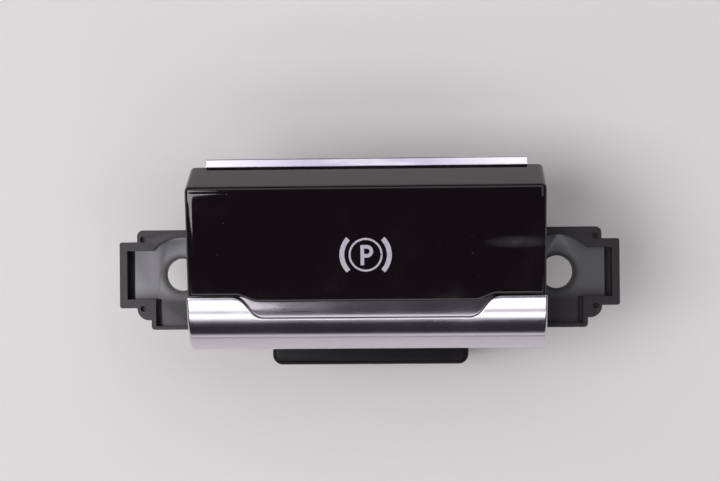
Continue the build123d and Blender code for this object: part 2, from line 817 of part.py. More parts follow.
def plunger(x, y):
    """Mushroom-headed plunger: the foot presses its head, its tip presses the dome."""
    tip_z = dome_top_z + dome_gap
    return turned(
        [
            (0, head_top_z),
            (plunger_head, head_top_z),
            (plunger_head, head_base_z),
            (plunger_stem, head_base_z),
            (plunger_stem, tip_z + plunger_tip_taper),
            (plunger_tip, tip_z),
            (0, tip_z),
        ],
        x,
        y,
    )


def plunger_spring(x, y):
    """Square-wire compression spring between the deck and the plunger's head."""
    radius = plunger_stem + spring_clearance + spring_wire / 2
    height = head_base_z - deck_z - spring_wire
    helix = Helix(pitch=height / spring_turns, height=height, radius=radius)
    section = Plane(helix @ 0, z_dir=helix % 0) * Rectangle(spring_wire, spring_wire)
    return Pos(x, y, deck_z + spring_wire / 2) * sweep(section, helix, is_frenet=True)


def dome(x, y):
    """Silicone snap dome standing on the board, thick at the top where the plunger presses."""
    return turned(
        [
            (dome_radius - dome_skin, board_z),
            (dome_radius, board_z),
            (dome_pill + dome_skin, dome_top_z),
            (0, dome_top_z),
            (0, board_z + dome_room),
            (dome_pill, board_z + dome_room),
        ],
        x,
        y,
    )


def board_outline(margin):
    """Plan of everything that fills the cover inside its wall, clear of the screw columns."""
    width = 2 * (body_inner - margin)
    rear, front = body_rear_y - housing_wall - margin, body_front_y + housing_wall + margin
    plan = Pos(0, (rear + front) / 2) * Rectangle(width, rear - front)
    for x, y in columns:
        side = math.copysign(1, x)
        end = front if y < 0 else rear
        reach = column_radius + margin
        corner = polygon(
            (x - side * reach, y - math.copysign(reach, end)),
            (side * far, y - math.copysign(reach, end)),
            (side * far, math.copysign(far, end)),
            (x - side * reach, math.copysign(far, end)),
        )
        plan = plan - corner
    return plan


def contact_places():
    """Middles of the socket's contacts."""
    across_row = [(n - (contacts_per_row - 1) / 2) * contact_pitch for n in range(contacts_per_row)]
    return [(x, header_y + row * contact_row / 2) for row in (-1, 1) for x in across_row]


def circuit_board():
    """Board on the cover's ledges, with holes for the contacts."""
    outline = board_outline(board_clearance)
    board = Pos(0, 0, board_z - board_thickness) * extrude(outline, amount=board_thickness)
    half = contact_size / 2 + contact_slack
    for x, y in contact_places():
        board = board - block(x - half, x + half, y - half, y + half, -far, 0)
    return board


def contact_mat():
    """Silicone mat on the board round the domes, open over the two lamps."""
    low_y, high_y = release_y - dome_radius - mat_margin, apply_y + dome_radius / 2
    half = plunger_x + dome_radius + mat_margin
    mat = block(-half, half, low_y, high_y, board_z, board_z + mat_thickness)
    mat = fillet(mat.edges().filter_by(Axis.Z), mat_corner)
    mat = mat & (Pos(0, 0, board_z) * extrude(board_outline(2 * board_clearance), amount=mat_thickness))
    for x, y in plungers.values():
        mat = mat - post(x, y, dome_radius + mat_gap, -far, 0)
    lamps_x = led_spacing / 2 + led_width / 2 + led_clearance
    lamps_y = led_length / 2 + led_clearance
    return mat - block(-lamps_x, lamps_x, symbol_y - lamps_y, symbol_y + lamps_y, -far, 0)


def lamp(x):
    """Surface-mounted lamp: a square case with a round reflector cup."""
    case = block(
        x - led_width / 2, x + led_width / 2, symbol_y - led_length / 2, symbol_y + led_length / 2,
        board_z, board_z + led_height,
    )
    cup = Cone(led_cup_radius - led_cup_depth / 2, led_cup_radius, led_cup_depth)
    cup = Pos(x, symbol_y, board_z + led_height - led_cup_depth / 2) * cup
    return case - cup


def light_guide():
    """Clear block that carries the lamps' light up to the symbol, hung by its flange on the deck."""
    foot_z = board_z + led_height + guide_lamp_gap
    foot = Pos(0, symbol_y, foot_z) * Rectangle(guide_width - 2 * guide_foot_inset, guide_foot)
    waist = Pos(0, symbol_y, deck_z) * Rectangle(guide_width, guide_length)
    head = Pos(0, symbol_y, guide_top_z) * Rectangle(
        guide_width - 2 * guide_head_inset, guide_length - 2 * guide_head_inset
    )
    flange = block(
        -guide_width / 2 - guide_flange, guide_width / 2 + guide_flange,
        max(symbol_y - guide_length / 2 - guide_flange, tower_front_y + housing_wall + guide_flange_gap),
        symbol_y + guide_length / 2 + guide_flange, deck_z, deck_z + guide_flange_height,
    )
    return loft([foot, waist]) + loft([waist, head]) + flange


def connector_header():
    """Socket for the harness plug: an open shroud with keyways, soldered under the board."""
    top, low = board_z - board_thickness, base_z + header_recess
    half, depth = header_width / 2, header_depth / 2
    shroud = block(-half, half, header_y - depth, header_y + depth, low, top)
    shroud = fillet(shroud.edges().filter_by(Axis.Z), header_corner)
    cavity = block(
        -half + header_wall, half - header_wall,
        header_y - depth + header_wall, header_y + depth - header_wall,
        low - bite, top - header_web,
    )
    shroud = shroud - cavity
    for x in (-half / 2, half / 2):
        shroud = shroud - block(
            x - keyway_width / 2, x + keyway_width / 2,
            header_y + depth - header_wall - near, header_y + depth - keyway_wall,
            low - bite, top - header_web,
        )
    for x, y in contact_places():
        hole = contact_size + 2 * contact_slack
        shroud = shroud - (Pos(x, y, top - header_web / 2) * Box(hole, hole, header_web + 2))
    return shroud


def connector_pins():
    """Eight square contacts through the socket's web and the board."""
    low = board_z - board_thickness - header_web - contact_reach
    pins = []
    for x, y in contact_places():
        size = contact_size / 2
        pin = block(x - size, x + size, y - size, y + size, low, board_z + contact_solder)
        pins.append(chamfer(pin.faces().sort_by(Axis.Z)[0].edges(), contact_taper))
    return pins


def board_components():
    """Controller chip and small passive parts under the board, clear of the socket."""
    low = board_z - board_thickness

    def part(x, y, size):
        return Pos(x, symbol_y + y, low - size[2] / 2) * Box(*size)

    parts = [part(0, chip_size[1] / 2 - chip_overhang, chip_size)]
    for x in passive_x:
        parts.append(part(-x, passive_size[1] / 2, passive_size))
        parts.append(part(x, passive_size[1] / 2, passive_size))
    x, y = capacitor_place
    parts.append(post(x, symbol_y + y, capacitor_radius, low - capacitor_height, low))
    x, y = diode_place
    parts.append(part(x, y, diode_size))
    return parts


def housing_screws():
    """Four thread-forming screws that hold the lower cover to the columns."""
    screws = []
    for x, y in columns:
        head_low = base_z + screw_sink
        head = post(x, y, screw_head_radius, head_low, head_low + screw_head_height)
        screws.append(head + post(x, y, screw_shank_radius, head_low + screw_head_height / 2, screw_tip_z))
    return screws


def write(nodes):
    """Writes one file for each named node."""
    os.makedirs("parts", exist_ok=True)
    for name, shape in nodes.items():
        solids = shape if isinstance(shape, list) else [shape]
        solids = [s for item in solids for s in item.solids()]
        made = solids[0] if len(solids) == 1 else Compound(children=solids)
        made.label = name
        export_step(made, f"parts/{name}.step")


def main():
    nodes = {
        "upper_housing": upper_housing(),
        "lower_cover": lower_cover(),
        "circuit_board": circuit_board(),
        "board_components": board_components(),
        "connector_header": connector_header(),
        "connector_pins": connector_pins(),
        "contact_mat": contact_mat(),
        "symbol_led": lamp(-led_spacing / 2),
        "status_led": lamp(led_spacing / 2),
        "light_guide": light_guide(),
        "pivot_pin": pivot_pin(),
        "housing_screws": housing_screws(),
        "bump_stops": bump_stops(),
        "paddle_cap": paddle_cap(),
        "front_lip_trim": front_lip_trim(),
        "rear_trim_strip": rear_trim_strip(),
        "paddle_carrier": paddle_carrier(),
        "symbol_diffuser": symbol_diffuser(),
    }
    for place, (x, y) in plungers.items():
        action, side = place.split("_")
        nodes[f"{action}_plunger_{side}"] = plunger(x, y)
        nodes[f"{action}_spring_{side}"] = plunger_spring(x, y)
        nodes[f"{action}_dome_{side}"] = dome(x, y)
    write(nodes)


main()
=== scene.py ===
import math
import bmesh
import bpy
import numpy as np
from bpy.props import FloatProperty, FloatVectorProperty, IntProperty, PointerProperty
from mathutils import Matrix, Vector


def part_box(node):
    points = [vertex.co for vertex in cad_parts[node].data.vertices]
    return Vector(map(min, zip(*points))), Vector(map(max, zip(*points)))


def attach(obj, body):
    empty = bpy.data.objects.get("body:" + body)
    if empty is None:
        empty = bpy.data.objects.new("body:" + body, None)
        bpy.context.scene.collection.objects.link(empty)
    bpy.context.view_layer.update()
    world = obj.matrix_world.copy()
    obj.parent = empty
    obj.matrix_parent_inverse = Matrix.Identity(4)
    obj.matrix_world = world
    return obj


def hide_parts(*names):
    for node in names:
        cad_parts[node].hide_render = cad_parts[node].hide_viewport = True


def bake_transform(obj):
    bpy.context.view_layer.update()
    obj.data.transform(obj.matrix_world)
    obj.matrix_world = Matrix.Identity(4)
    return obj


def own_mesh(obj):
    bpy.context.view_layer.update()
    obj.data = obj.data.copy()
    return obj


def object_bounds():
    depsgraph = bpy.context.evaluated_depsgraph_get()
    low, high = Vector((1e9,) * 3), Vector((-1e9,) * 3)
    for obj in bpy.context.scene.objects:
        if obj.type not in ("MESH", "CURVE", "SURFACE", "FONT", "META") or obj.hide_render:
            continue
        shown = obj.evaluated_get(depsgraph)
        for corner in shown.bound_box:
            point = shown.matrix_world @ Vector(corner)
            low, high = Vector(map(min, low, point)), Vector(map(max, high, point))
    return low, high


bl_info = {
    "name": "Parking brake switch",
    "version": (1, 0, 0),
    "blender": (4, 5, 0),
    "location": "3D View > Sidebar > Switch",
    "description": "Builds a rocking parking brake switch piece by piece, with its finishes and a studio",
    "category": "Add Mesh",
}

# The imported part, and its box before any piece is added
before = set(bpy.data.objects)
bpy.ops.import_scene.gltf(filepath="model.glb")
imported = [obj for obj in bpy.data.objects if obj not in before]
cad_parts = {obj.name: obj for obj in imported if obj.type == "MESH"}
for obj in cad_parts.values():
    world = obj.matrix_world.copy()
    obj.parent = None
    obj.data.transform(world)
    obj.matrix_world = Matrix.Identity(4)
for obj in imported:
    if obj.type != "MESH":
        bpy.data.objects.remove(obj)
frame_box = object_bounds()
MM = 0.001

# Mesh finishing: distances in metres, creases in degrees
MERGE_DISTANCE = 2e-7
NODE_MERGE_DISTANCE = 1e-6
THIN_EDGE = 1e-7
FLAT_ANGLE = math.radians(0.6)
BEVEL_ANGLE = math.radians(38)
CREASE, MOULDED_CREASE, ROUND_CREASE = 32, 35, 40


def corners_mm(node):
    """Lower and upper corner of a node's box, in millimetres."""
    return [np.array(corner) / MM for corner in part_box(node)]


CAP_HALF = corners_mm("paddle_cap")[1][0]
LIP_HALF = corners_mm("front_lip_trim")[1][0]
STRIP_LOW, STRIP_HIGH = corners_mm("rear_trim_strip")

# Paddle section, in millimetres: the part's own, apart from a shallower scoop and a thinner tongue
TOP_FALL = math.radians(9.4)
CAP_FRONT_Y = -3.9
CAP_FRONT_Z = 14.623
CAP_REAR_Y = 16.5
CAP_REAR_Z = 18.0
CAP_WALL = 1.98
SKIRT_FRONT_Z = 6.5
SKIRT_REAR_Y = 20.8
SKIRT_REAR_Z = 9.5
SKIRT_LEVEL = 2.8
RIDGE_POINT = np.array([CAP_REAR_Y, CAP_REAR_Z])
SKIRT_POINT = np.array([SKIRT_REAR_Y, SKIRT_REAR_Z])
SLOPE_RUN = RIDGE_POINT - SKIRT_POINT
FLANGE_Z = 11.52
TONGUE_REACH = 1.25
TONGUE_DEPTH = 1.3
TONGUE_EDGE = 0.28
TONGUE_PULL = 1.4
TOP_START = (0.004, 0.01)
SCOOP_HALF = 21.0
SCOOP_RAMP = 3.2
SCOOP_REACH = 4.0
SCOOP_FLOOR_Z = CAP_FRONT_Z - 1.8
BEND_RADIUS = 3.0
LIP_REAR_Y = -4.2
LIP_TOP_Z = 14.523
LIP_WALL = 1.8
LIP_END_WALL = 2.0
LIP_CEILING_Z = CAP_FRONT_Z - 4.9
CEILING_LAG = 1.7
NOSE_RADIUS = 8.8
NOSE_TILT = math.radians(22)
NOSE_Y = LIP_REAR_Y - 10.4 + NOSE_RADIUS
CROWN_RADIUS = 23.0
CURL_RADIUS = 2.6
FINGER_ARCH = 1.4
STRIP_PLATE = 1.4
STRIP_FALL = math.radians(8)

# Printed sign, in millimetres
SYMBOL_Y = 3.7
SIGN_THICKNESS = 0.02
SIGN_SINK = 0.01
RING_WIDTH = 0.37
ARC_WIDTH = 0.92
ARC_REACH = math.radians(43.3)

# Pieces below the paddle, in millimetres; a pressed dome keeps the given share of its height
DECK_Z = -4.5
BOARD_Z = -12.0
PLUNGER_X = 9.0
PLUNGER_Y = {"apply": 16.0, "release": 4.0}
HEAD_LOW_Z = 0.85
HEAD_TOP_Z = 2.45
TIP_Z = -9.65
SPRING_RADIUS = 2.1
SCREW_PLACES = [(x, y) for x in (-15.4, 15.4) for y in (-14.1, 16.2)]
SCREW_HEAD_Z = -26.4
SCREW_TIP_Z = -13.5

# Painted light: the ears' and their seats' painted sheen tones and places, in millimetres, and the cap's
# painted reflection patch, in metres
EAR_PAINTED_SHEEN = (0.025, 0.021, 0.026)
SEAT_PAINTED_SHEEN = (0.022, 0.019, 0.028)
EAR_HOLE_X = 37.3
EAR_ROOT_X = (32.5, 34.5)
SEAT_RING = (3.4, 4.6)
SEAT_FRONT_Y = (-5.5, -2.0)
SEAT_LEVEL = (0.05, 0.3)
REFLECTION_PATCH_PLACE = (0.0287, 0.0059, 0.016)
REFLECTION_PATCH_SIZE = (0.0068, 0.0013, 0.05)

# Studio, in metres and degrees
CAMERA_PLACE = (0.00952, 0.00387, 0.29780)
CAMERA_TURN = (0.494, 2.148, -0.495)
LAMP_DISTANCE = 1.2
FLOOR_HALF = 12.0
FLOOR_GAP = 0.00002
# Softboxes: name, angle from straight up, direction from +X, size, brightness, colour, turn in its own plane
LAMPS = (
    ("rear_softbox", 32, 90, (1.5, 0.78), 1.1, (0.99, 0.98, 1.0), 0.0),
    ("front_softbox", 27.5, -90, (1.5, 0.27), 2.0, (1.0, 0.99, 1.0), 0.0),
    ("front_strip_light", 39.7, -90, (1.5, 0.125), 2.2, (1.0, 0.99, 1.0), 0.0),
    ("window_softbox", 28.5, 185.3, (0.49, 0.78), 6.2, (0.98, 0.96, 1.0), -17.3),
    ("side_softbox", 25, 5, (0.5, 0.5), 0.9, (0.97, 0.97, 1.0), 0.0),
)


# Sizes and colours that a user may change
def length(name, description, default):
    """A size in metres, shown in the scene's unit."""
    return FloatProperty(name=name, description=description, default=default, unit="LENGTH")


def shade(name, description, default):
    """A colour, shown as a colour field."""
    return FloatVectorProperty(name=name, description=description, default=default, subtype="COLOR")


class SwitchSizes(bpy.types.PropertyGroup):
    cap_edge: length("Cap edge", "Radius along the sides of the gloss cap", 0.0008)
    cap_ridge: length("Cap ridge", "Radius where the top turns into the rear slope", 0.0009)
    lip_end: length("Lip end", "Radius at both ends of the plated lip", 0.0005)
    scoop_edge: length("Scoop edge", "Radius between the scoop and the lip's crown", 0.00028)
    scoop_cove: length("Scoop cove", "Run of the steep rise at the scoop's edge", 0.00028)
    scoop_dish: length("Scoop dish", "Run of the scoop's gentle rise before its edge", 0.0027)
    scoop_rise: length("Scoop rise", "Height of the scoop's gentle rise", 0.00024)
    cap_rear_fall: length("Cap rear fall", "How far the gloss top falls off before its ridge", 0.00024)
    cap_rear_roll: length("Cap rear roll", "Width of the gloss top's fall before its ridge", 0.0026)
    cap_side_fall: length("Cap side fall", "How far the gloss top falls off beside its sides", 0.00004)
    cap_side_roll: length("Cap side roll", "Width of the gloss top's fall beside its sides", 0.001)
    strip_edge: length("Strip edge", "Radius on the bright rear strip", 0.0005)
    moulded_edge: length("Moulded edge", "Width of the soft edges on the black mouldings", 0.00026)
    sign_ring: length("Sign ring", "Outer radius of the circle round the letter", 0.0032)
    sign_arc: length("Sign arc", "Outer radius of the two arcs", 0.00494)
    spring_wire: length("Spring wire", "Diameter of the springs' wire", 0.0005)
    spring_turns: FloatProperty(name="Spring turns", description="Open turns of each spring", default=4.0)
    steps: IntProperty(
        name="Steps", description="Points along each curved part of a section", default=12, min=4)


class SwitchColours(bpy.types.PropertyGroup):
    gloss: shade("Gloss cap", "Colour of the gloss black cap", (0.0064, 0.0039, 0.0052))
    satin: shade("Satin plating", "Colour of the lip's satin plating", (0.66, 0.63, 0.68))
    bright: shade("Bright plating", "Colour of the rear strip", (0.90, 0.885, 0.93))
    moulded: shade("Black moulding", "Colour of housing and carrier", (0.0085, 0.0072, 0.0085))
    sign: shade("Sign", "Colour of the printed sign", (0.50, 0.47, 0.56))
    board: shade("Board", "Colour of the circuit board's lacquer", (0.010, 0.085, 0.036))
    steel: shade("Steel", "Colour of pin, screws and springs", (0.50, 0.50, 0.51))
    silicone: shade("Silicone", "Colour of the contact mat and domes", (0.30, 0.31, 0.32))
    natural: shade("Natural plastic", "Colour of the plungers", (0.66, 0.63, 0.55))
    floor: shade("Floor", "Colour of the studio floor", (0.83, 0.81, 0.80))


def size(key):
    """A user's size, in millimetres."""
    return getattr(bpy.context.scene.switch_sizes, key) / MM


def steps():
    """How many points a user wants along a curve."""
    return bpy.context.scene.switch_sizes.steps


def colours():
    """The user's colours."""
    return bpy.context.scene.switch_colours


# Mesh helpers
def grid_faces(rows, columns, first=0, ring=False):
    """Quads of a grid of rows by columns points; with ring the last column joins the first."""
    across = np.arange(columns if ring else columns - 1)
    r, c = np.meshgrid(np.arange(rows - 1), across, indexing="ij")
    here, there = first + r * columns, first + (r + 1) * columns
    following = (c + 1) % columns
    return np.stack([here + c, here + following, there + following, there + c], -1).reshape(-1, 4)


def wall_faces(rows, columns, first=0):
    """Quads of two grids that follow each other, and of the rim that joins their edges."""
    count = rows * columns
    edge = np.concatenate([
        np.arange(columns),
        np.arange(1, rows) * columns + columns - 1,
        (rows - 1) * columns + np.arange(columns - 2, -1, -1),
        np.arange(rows - 2, 0, -1) * columns,
    ])
    following = np.roll(edge, -1)
    rim = np.stack([edge, following, following + count, edge + count], -1)
    return np.concatenate([
        grid_faces(rows, columns, first), grid_faces(rows, columns, first + count)[:, ::-1], rim + first])


def new_piece(name, points, faces, crease=CREASE):
    """A piece from points in millimetres and faces, sharp past the crease angle in degrees."""
    mesh = bpy.data.meshes.new(name)
    corners = (np.asarray(points).reshape(-1, 3) * MM).tolist()
    mesh.from_pydata(corners, [], [list(map(int, face)) for face in faces])
    return finish_mesh(mesh, name, crease)


def finish_mesh(mesh, name, crease):
    """Merges doubles, turns faces outwards, smooths the mesh and links it as an object."""
    work = bmesh.new()
    work.from_mesh(mesh)
    bmesh.ops.remove_doubles(work, verts=work.verts, dist=MERGE_DISTANCE)
    bmesh.ops.dissolve_degenerate(work, edges=work.edges, dist=THIN_EDGE)
    bmesh.ops.recalc_face_normals(work, faces=work.faces)
    work.to_mesh(mesh)
    work.free()
    mesh.shade_smooth()
    mesh.set_sharp_from_angle(angle=math.radians(crease))
    piece = bpy.data.objects.new(name, mesh)
    bpy.context.scene.collection.objects.link(piece)
    return piece


def wall(name, outer, inner):
    """A closed wall between two surfaces that are worked out on the same grid."""
    return new_piece(name, np.stack([outer, inner]), wall_faces(*outer.shape[:2]))


def settle(piece, body, slot, look, *nodes):
    """Gives a finished piece its material, the body it rides on and the nodes it stands for; slot is not
    used.
    """
    piece.data.materials.clear()
    piece.data.materials.append(look)
    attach(piece, body)
    if nodes:
        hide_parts(*nodes)


def dress(node, look):
    """Puts a material on a node of the part that keeps its own mesh."""
    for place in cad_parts[node].material_slots:
        place.material = look


def mould(node, body, slot, look, share=1.0):
    """Stands a copy of a node in its place, with its flat faces made whole and a narrow rounded edge along
    each corner, by a share of the user's width."""
    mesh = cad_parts[node].data.copy()
    work = bmesh.new()
    work.from_mesh(mesh)
    bmesh.ops.remove_doubles(work, verts=work.verts, dist=NODE_MERGE_DISTANCE)
    bmesh.ops.dissolve_limit(work, angle_limit=FLAT_ANGLE, verts=work.verts, edges=work.edges)
    work.to_mesh(mesh)
    work.free()
    piece = finish_mesh(mesh, node + "_moulding", MOULDED_CREASE)
    bevel = piece.modifiers.new("soft edge", "BEVEL")
    bevel.width = bpy.context.scene.switch_sizes.moulded_edge * share
    bevel.segments = 2
    bevel.limit_method = "ANGLE"
    bevel.angle_limit = BEVEL_ANGLE
    bevel.use_clamp_overlap = True
    bevel.harden_normals = True
    settle(piece, body, slot, look, node)


# Curves
def heading(angle):
    """Unit directions at the given angles from the first axis."""
    return np.stack([np.cos(angle), np.sin(angle)], -1)


def circle_point(centre, radius, angle):
    """Points on a circle at the given angles from the first axis."""
    return np.asarray(centre) + radius * heading(angle)


def arc_rows(centre, radius, start, stop, count=5):
    """Points of a small arc from start to stop in degrees."""
    return circle_point(centre, radius, np.radians(np.linspace(start, stop, count)))


def round_angles(sides):
    """Angles of the given number of sides round a full turn."""
    return np.linspace(0, 2 * math.pi, sides, endpoint=False)


def square_to(direction):
    """The direction turned by a quarter turn."""
    return np.array([-direction[1], direction[0]])


def column(count, first=0):
    """Evenly spaced shares from 0 to 1, one below the other, from the given one on."""
    return np.linspace(0, 1, count)[first:, None]


def between(start, end, share):
    """Values on the straight from start to end."""
    return start * (1 - share) + end * share


def bezier(a, b, c, t):
    """Quadratic curve from a to c, pulled towards b."""
    return (1 - t) ** 2 * a + 2 * t * (1 - t) * b + t**2 * c


def shares(path):
    """Each point's share of its path's length."""
    run = np.concatenate([[0], np.cumsum(np.hypot(*np.diff(path, axis=0).T))])
    return run / run[-1]


def along(path, share):
    """Points at the given shares of a (y, z) path's length."""
    return np.stack([np.interp(share, shares(path), path[:, k]) for k in (0, 1)], -1)


def repeated(section, x):
    """The same section for every place in x."""
    return np.broadcast_to(section, (len(x),) + section.shape)


def carried(x, sections):
    """Points of (y, z) sections that stand at the places x."""
    return np.concatenate([np.broadcast_to(x[:, None, None], sections.shape[:2] + (1,)), sections], -1)


def raised(flat, height):
    """Flat (x, y) points with their heights added."""
    return np.concatenate([flat, np.broadcast_to(height, flat.shape[:-1] + (1,))], -1)


def s_bend(x, reach):
    """Depth of the scoop's S-bent outline: reach within the scoop's half width, nothing past the ramp, and
    between them an arc, a straight and an arc, all tangent."""
    slope = math.atan2(reach, SCOOP_RAMP)
    tangent = BEND_RADIUS * math.tan(slope / 2)
    arc = BEND_RADIUS * math.sin(slope)
    a = np.abs(x)
    near = SCOOP_HALF + SCOOP_RAMP + tangent - a
    close = a - SCOOP_HALF + tangent
    depth = (SCOOP_HALF + SCOOP_RAMP - a) * reach / SCOOP_RAMP
    sag = BEND_RADIUS - np.sqrt(BEND_RADIUS**2 - np.clip([near, close], 0, arc) ** 2)
    depth = np.where(near < arc, sag[0], depth)
    return np.where(close < arc, reach - sag[1], depth)


def stations(half, before, after):
    """Places across the switch, close together from before each bend to after it and near the ends, and wider
    apart elsewhere."""
    middle_count, bend_count, wide_count, end_count, end_zone = 35, 44, 7, 13, 2
    low, high, last = SCOOP_HALF - before, SCOOP_HALF + SCOOP_RAMP + after, half - end_zone
    outer = np.concatenate([
        np.linspace(low, high, bend_count)[1:], np.linspace(high, last, wide_count)[1:],
        np.linspace(last, half, end_count)[1:]])
    return np.concatenate([-outer[::-1], np.linspace(-low, low, middle_count), outer])


def rows_round_ends(x, profile, lean, radius, half, close, side_rows, fall=0.0):
    """Rows of a surface whose section is carried across x and turned down at both ends: the section first
    sinks along lean by radius * (1 - cos + fall * sin) while x moves out by radius * sin, then runs straight
    to the close curve; fall is the slope with which the section reaches the ends."""
    angle = np.linspace(0, math.pi / 2, 9)[1:]
    sink = radius * (1 - np.cos(angle) + fall * np.sin(angle))[:, None, None]
    place = np.concatenate([half - radius + radius * np.sin(angle), np.full(side_rows, half)])
    ends = []
    for section in (profile[0], profile[-1]):
        corner = section - lean * sink
        ends.append(np.concatenate([corner, between(corner[-1], close, column(side_rows + 1, 1)[..., None])]))
    places = np.concatenate([-place[::-1], x, place])
    return carried(places, np.concatenate([ends[0][::-1], profile, ends[1]]))


# Paddle cap
def top_z(y):
    """Height of the cap's flat top at y."""
    return CAP_REAR_Z - (CAP_REAR_Y - y) * math.tan(TOP_FALL)


def rolled_off(inside, depth, width):
    """Fall at a distance inside an edge: depth times the cube of what is left of the width."""
    return depth * np.clip(1 - inside / width, 0, 1) ** 3


def cap_surface(edge, ridge, rear, side, count):
    """Outer skin of the cap. Section: up the flange, round the tongue, back along the sloping top, round the
    ridge by an arc and down the rear slope; the tongue's reach follows the S-bend across x. Towards the
    ridge and the sides the top rolls off by a depth over a width, given as (depth, width)."""
    x = stations(CAP_HALF - edge, 1.6, 1.2)
    front = (CAP_FRONT_Y - s_bend(x, TONGUE_REACH))[:, None]
    top_dir = heading(TOP_FALL)
    slope_dir = -SLOPE_RUN / np.hypot(*SLOPE_RUN)
    top_normal, slope_normal = square_to(top_dir), square_to(slope_dir)
    turn = math.acos(float(top_dir @ slope_dir))
    start = RIDGE_POINT - top_dir * ridge * math.tan(turn / 2)
    angle = math.pi / 2 + TOP_FALL - np.linspace(0, turn, count)
    ridge_arc = circle_point(start - ridge * top_normal, ridge, angle) - np.array([0, rear[0]])
    slope_share = column(count, 1)

    foot = np.array([CAP_FRONT_Y, FLANGE_Z])
    knee = np.array([CAP_FRONT_Y, CAP_FRONT_Z - TONGUE_DEPTH])
    toe = np.stack([front, np.full_like(front, knee[1])], -1)
    corner = np.stack([front, top_z(front)], -1)
    below = corner - np.array([0, TONGUE_EDGE])
    turn_in = bezier(below, corner, corner + TONGUE_EDGE * TONGUE_PULL * top_dir, column(7, 1))
    rolling = rear[1] / (CAP_REAR_Y - CAP_FRONT_Y)
    top_share = np.concatenate([
        TOP_START[:1], np.linspace(TOP_START[1], 1 - rolling, count),
        np.linspace(1 - rolling, 1, count + 1)[1:]])
    top_y = between(turn_in[:, -1:, 0], start[0], top_share)
    profile = np.concatenate([
        repeated(between(foot, knee, column(3)), x),
        between(knee, toe, column(4, 1)),
        between(toe, below, column(6, 1)),
        turn_in,
        np.stack([top_y, top_z(top_y) - rolled_off(start[0] - top_y, *rear)], -1),
        repeated(np.concatenate([ridge_arc[1:], between(ridge_arc[-1], SKIRT_POINT, slope_share)]), x),
    ], 1)
    front_rows, bend_rows, top_rows = 3 + 3 + 5, turn_in.shape[1], len(top_share)

    face = np.clip((profile[0, :front_rows, 1] - FLANGE_Z) / (CAP_FRONT_Z - FLANGE_Z), 0, 1)
    lean = np.concatenate([
        np.stack([np.zeros(front_rows), face], -1),
        np.linspace([0, 1], top_normal, bend_rows),
        np.tile(top_normal, (top_rows, 1)),
        heading(angle[1:]),
        between(slope_normal, np.array([1 / slope_normal[0], 0]), slope_share**2),
    ])
    profile = profile - lean * rolled_off(CAP_HALF - edge - np.abs(x), *side)[:, None, None]
    low_y = between(CAP_FRONT_Y, SKIRT_REAR_Y - edge / slope_normal[0], shares(profile[0] - lean * edge))
    skirt_z = np.interp(
        low_y, [CAP_FRONT_Y, SKIRT_REAR_Y - SKIRT_LEVEL, SKIRT_REAR_Y],
        [SKIRT_FRONT_Z, SKIRT_REAR_Z, SKIRT_REAR_Z])
    close = np.stack([low_y, skirt_z], -1)
    return x, profile, lean, close, (front_rows + bend_rows, top_rows + (count - 1) // 2)


def cap_inside(x, rows, total, close, side_rows):
    """Inner skin on the outer skin's grid: the same wedge, moved in by the wall's width. rows holds how many
    points go to the front and to the top, total how many there are."""
    rise = CAP_WALL / math.cos(TOP_FALL)
    shift = CAP_WALL * np.hypot(*SLOPE_RUN) / SLOPE_RUN[1]
    slope, fall = -SLOPE_RUN[0] / SLOPE_RUN[1], math.tan(TOP_FALL)
    front_y = CAP_FRONT_Y + CAP_WALL
    peak_y = (CAP_REAR_Y + slope * (rise + fall * CAP_REAR_Y) - shift) / (1 + slope * fall)
    corner = np.array([front_y, top_z(front_y) - rise])
    peak = np.array([peak_y, top_z(peak_y) - rise])
    low = SKIRT_POINT - np.array([shift, 0])
    profile = np.concatenate([
        between(np.array([front_y, FLANGE_Z]), corner, column(rows[0])),
        between(corner, peak, column(rows[1])),
        between(peak, low, column(total - sum(rows) + 1, 1)),
    ])
    half = CAP_HALF - CAP_WALL
    close = np.stack([np.clip(close[:, 0], CAP_FRONT_Y, low[0]), close[:, 1]], -1)
    return rows_round_ends(
        x * half / CAP_HALF, repeated(profile, x), np.zeros_like(profile), 0.0, half, close, side_rows)


def ring_sector(radius, width, start, stop, count):
    """Outer and inner edge of a flat band along an arc about the middle."""
    angle = np.linspace(start, stop, count)
    return circle_point((0, 0), radius, angle), circle_point((0, 0), radius - width, angle)


def letter_edges():
    """Edges of the letter: a stem, and a bowl that runs along a stadium from the stem and back to it."""
    height, width, stroke, bowl, left, sink = 3.84, 2.40, 0.68, 1.2, -0.97, 0.06
    low, high, right = -height / 2 - sink, height / 2 - sink, left + stroke
    edges = [(np.array([[left, low], [left, high]]), np.array([[right, low], [right, high]]))]
    middle = high - bowl
    edges.append([
        np.concatenate([
            [[right, middle + radius]],
            arc_rows((left + width - bowl, middle), radius, 90, -90, 25),
            [[right, middle - radius]],
        ]) for radius in (bowl, bowl - stroke)])
    return edges


def sign_plate(name, edges):
    """Thin solid between pairs of edge curves, laid on the cap's sloping top at the sign's place."""
    points, faces, first = [], [], 0
    up = np.array([0, -math.sin(TOP_FALL), math.cos(TOP_FALL)])
    back = np.array([0, math.cos(TOP_FALL), math.sin(TOP_FALL)])
    middle = np.array([0, SYMBOL_Y, top_z(SYMBOL_Y)])
    for pair in edges:
        flat = np.stack(pair, 1)
        placed = middle + flat[..., :1] * np.array([1, 0, 0]) + flat[..., 1:] * back
        points += [(placed + up * SIGN_THICKNESS).reshape(-1, 3), (placed - up * SIGN_SINK).reshape(-1, 3)]
        faces.append(wall_faces(*placed.shape[:2], first))
        first += 2 * placed.shape[0] * placed.shape[1]
    return new_piece(name, np.concatenate(points), np.concatenate(faces), 30)


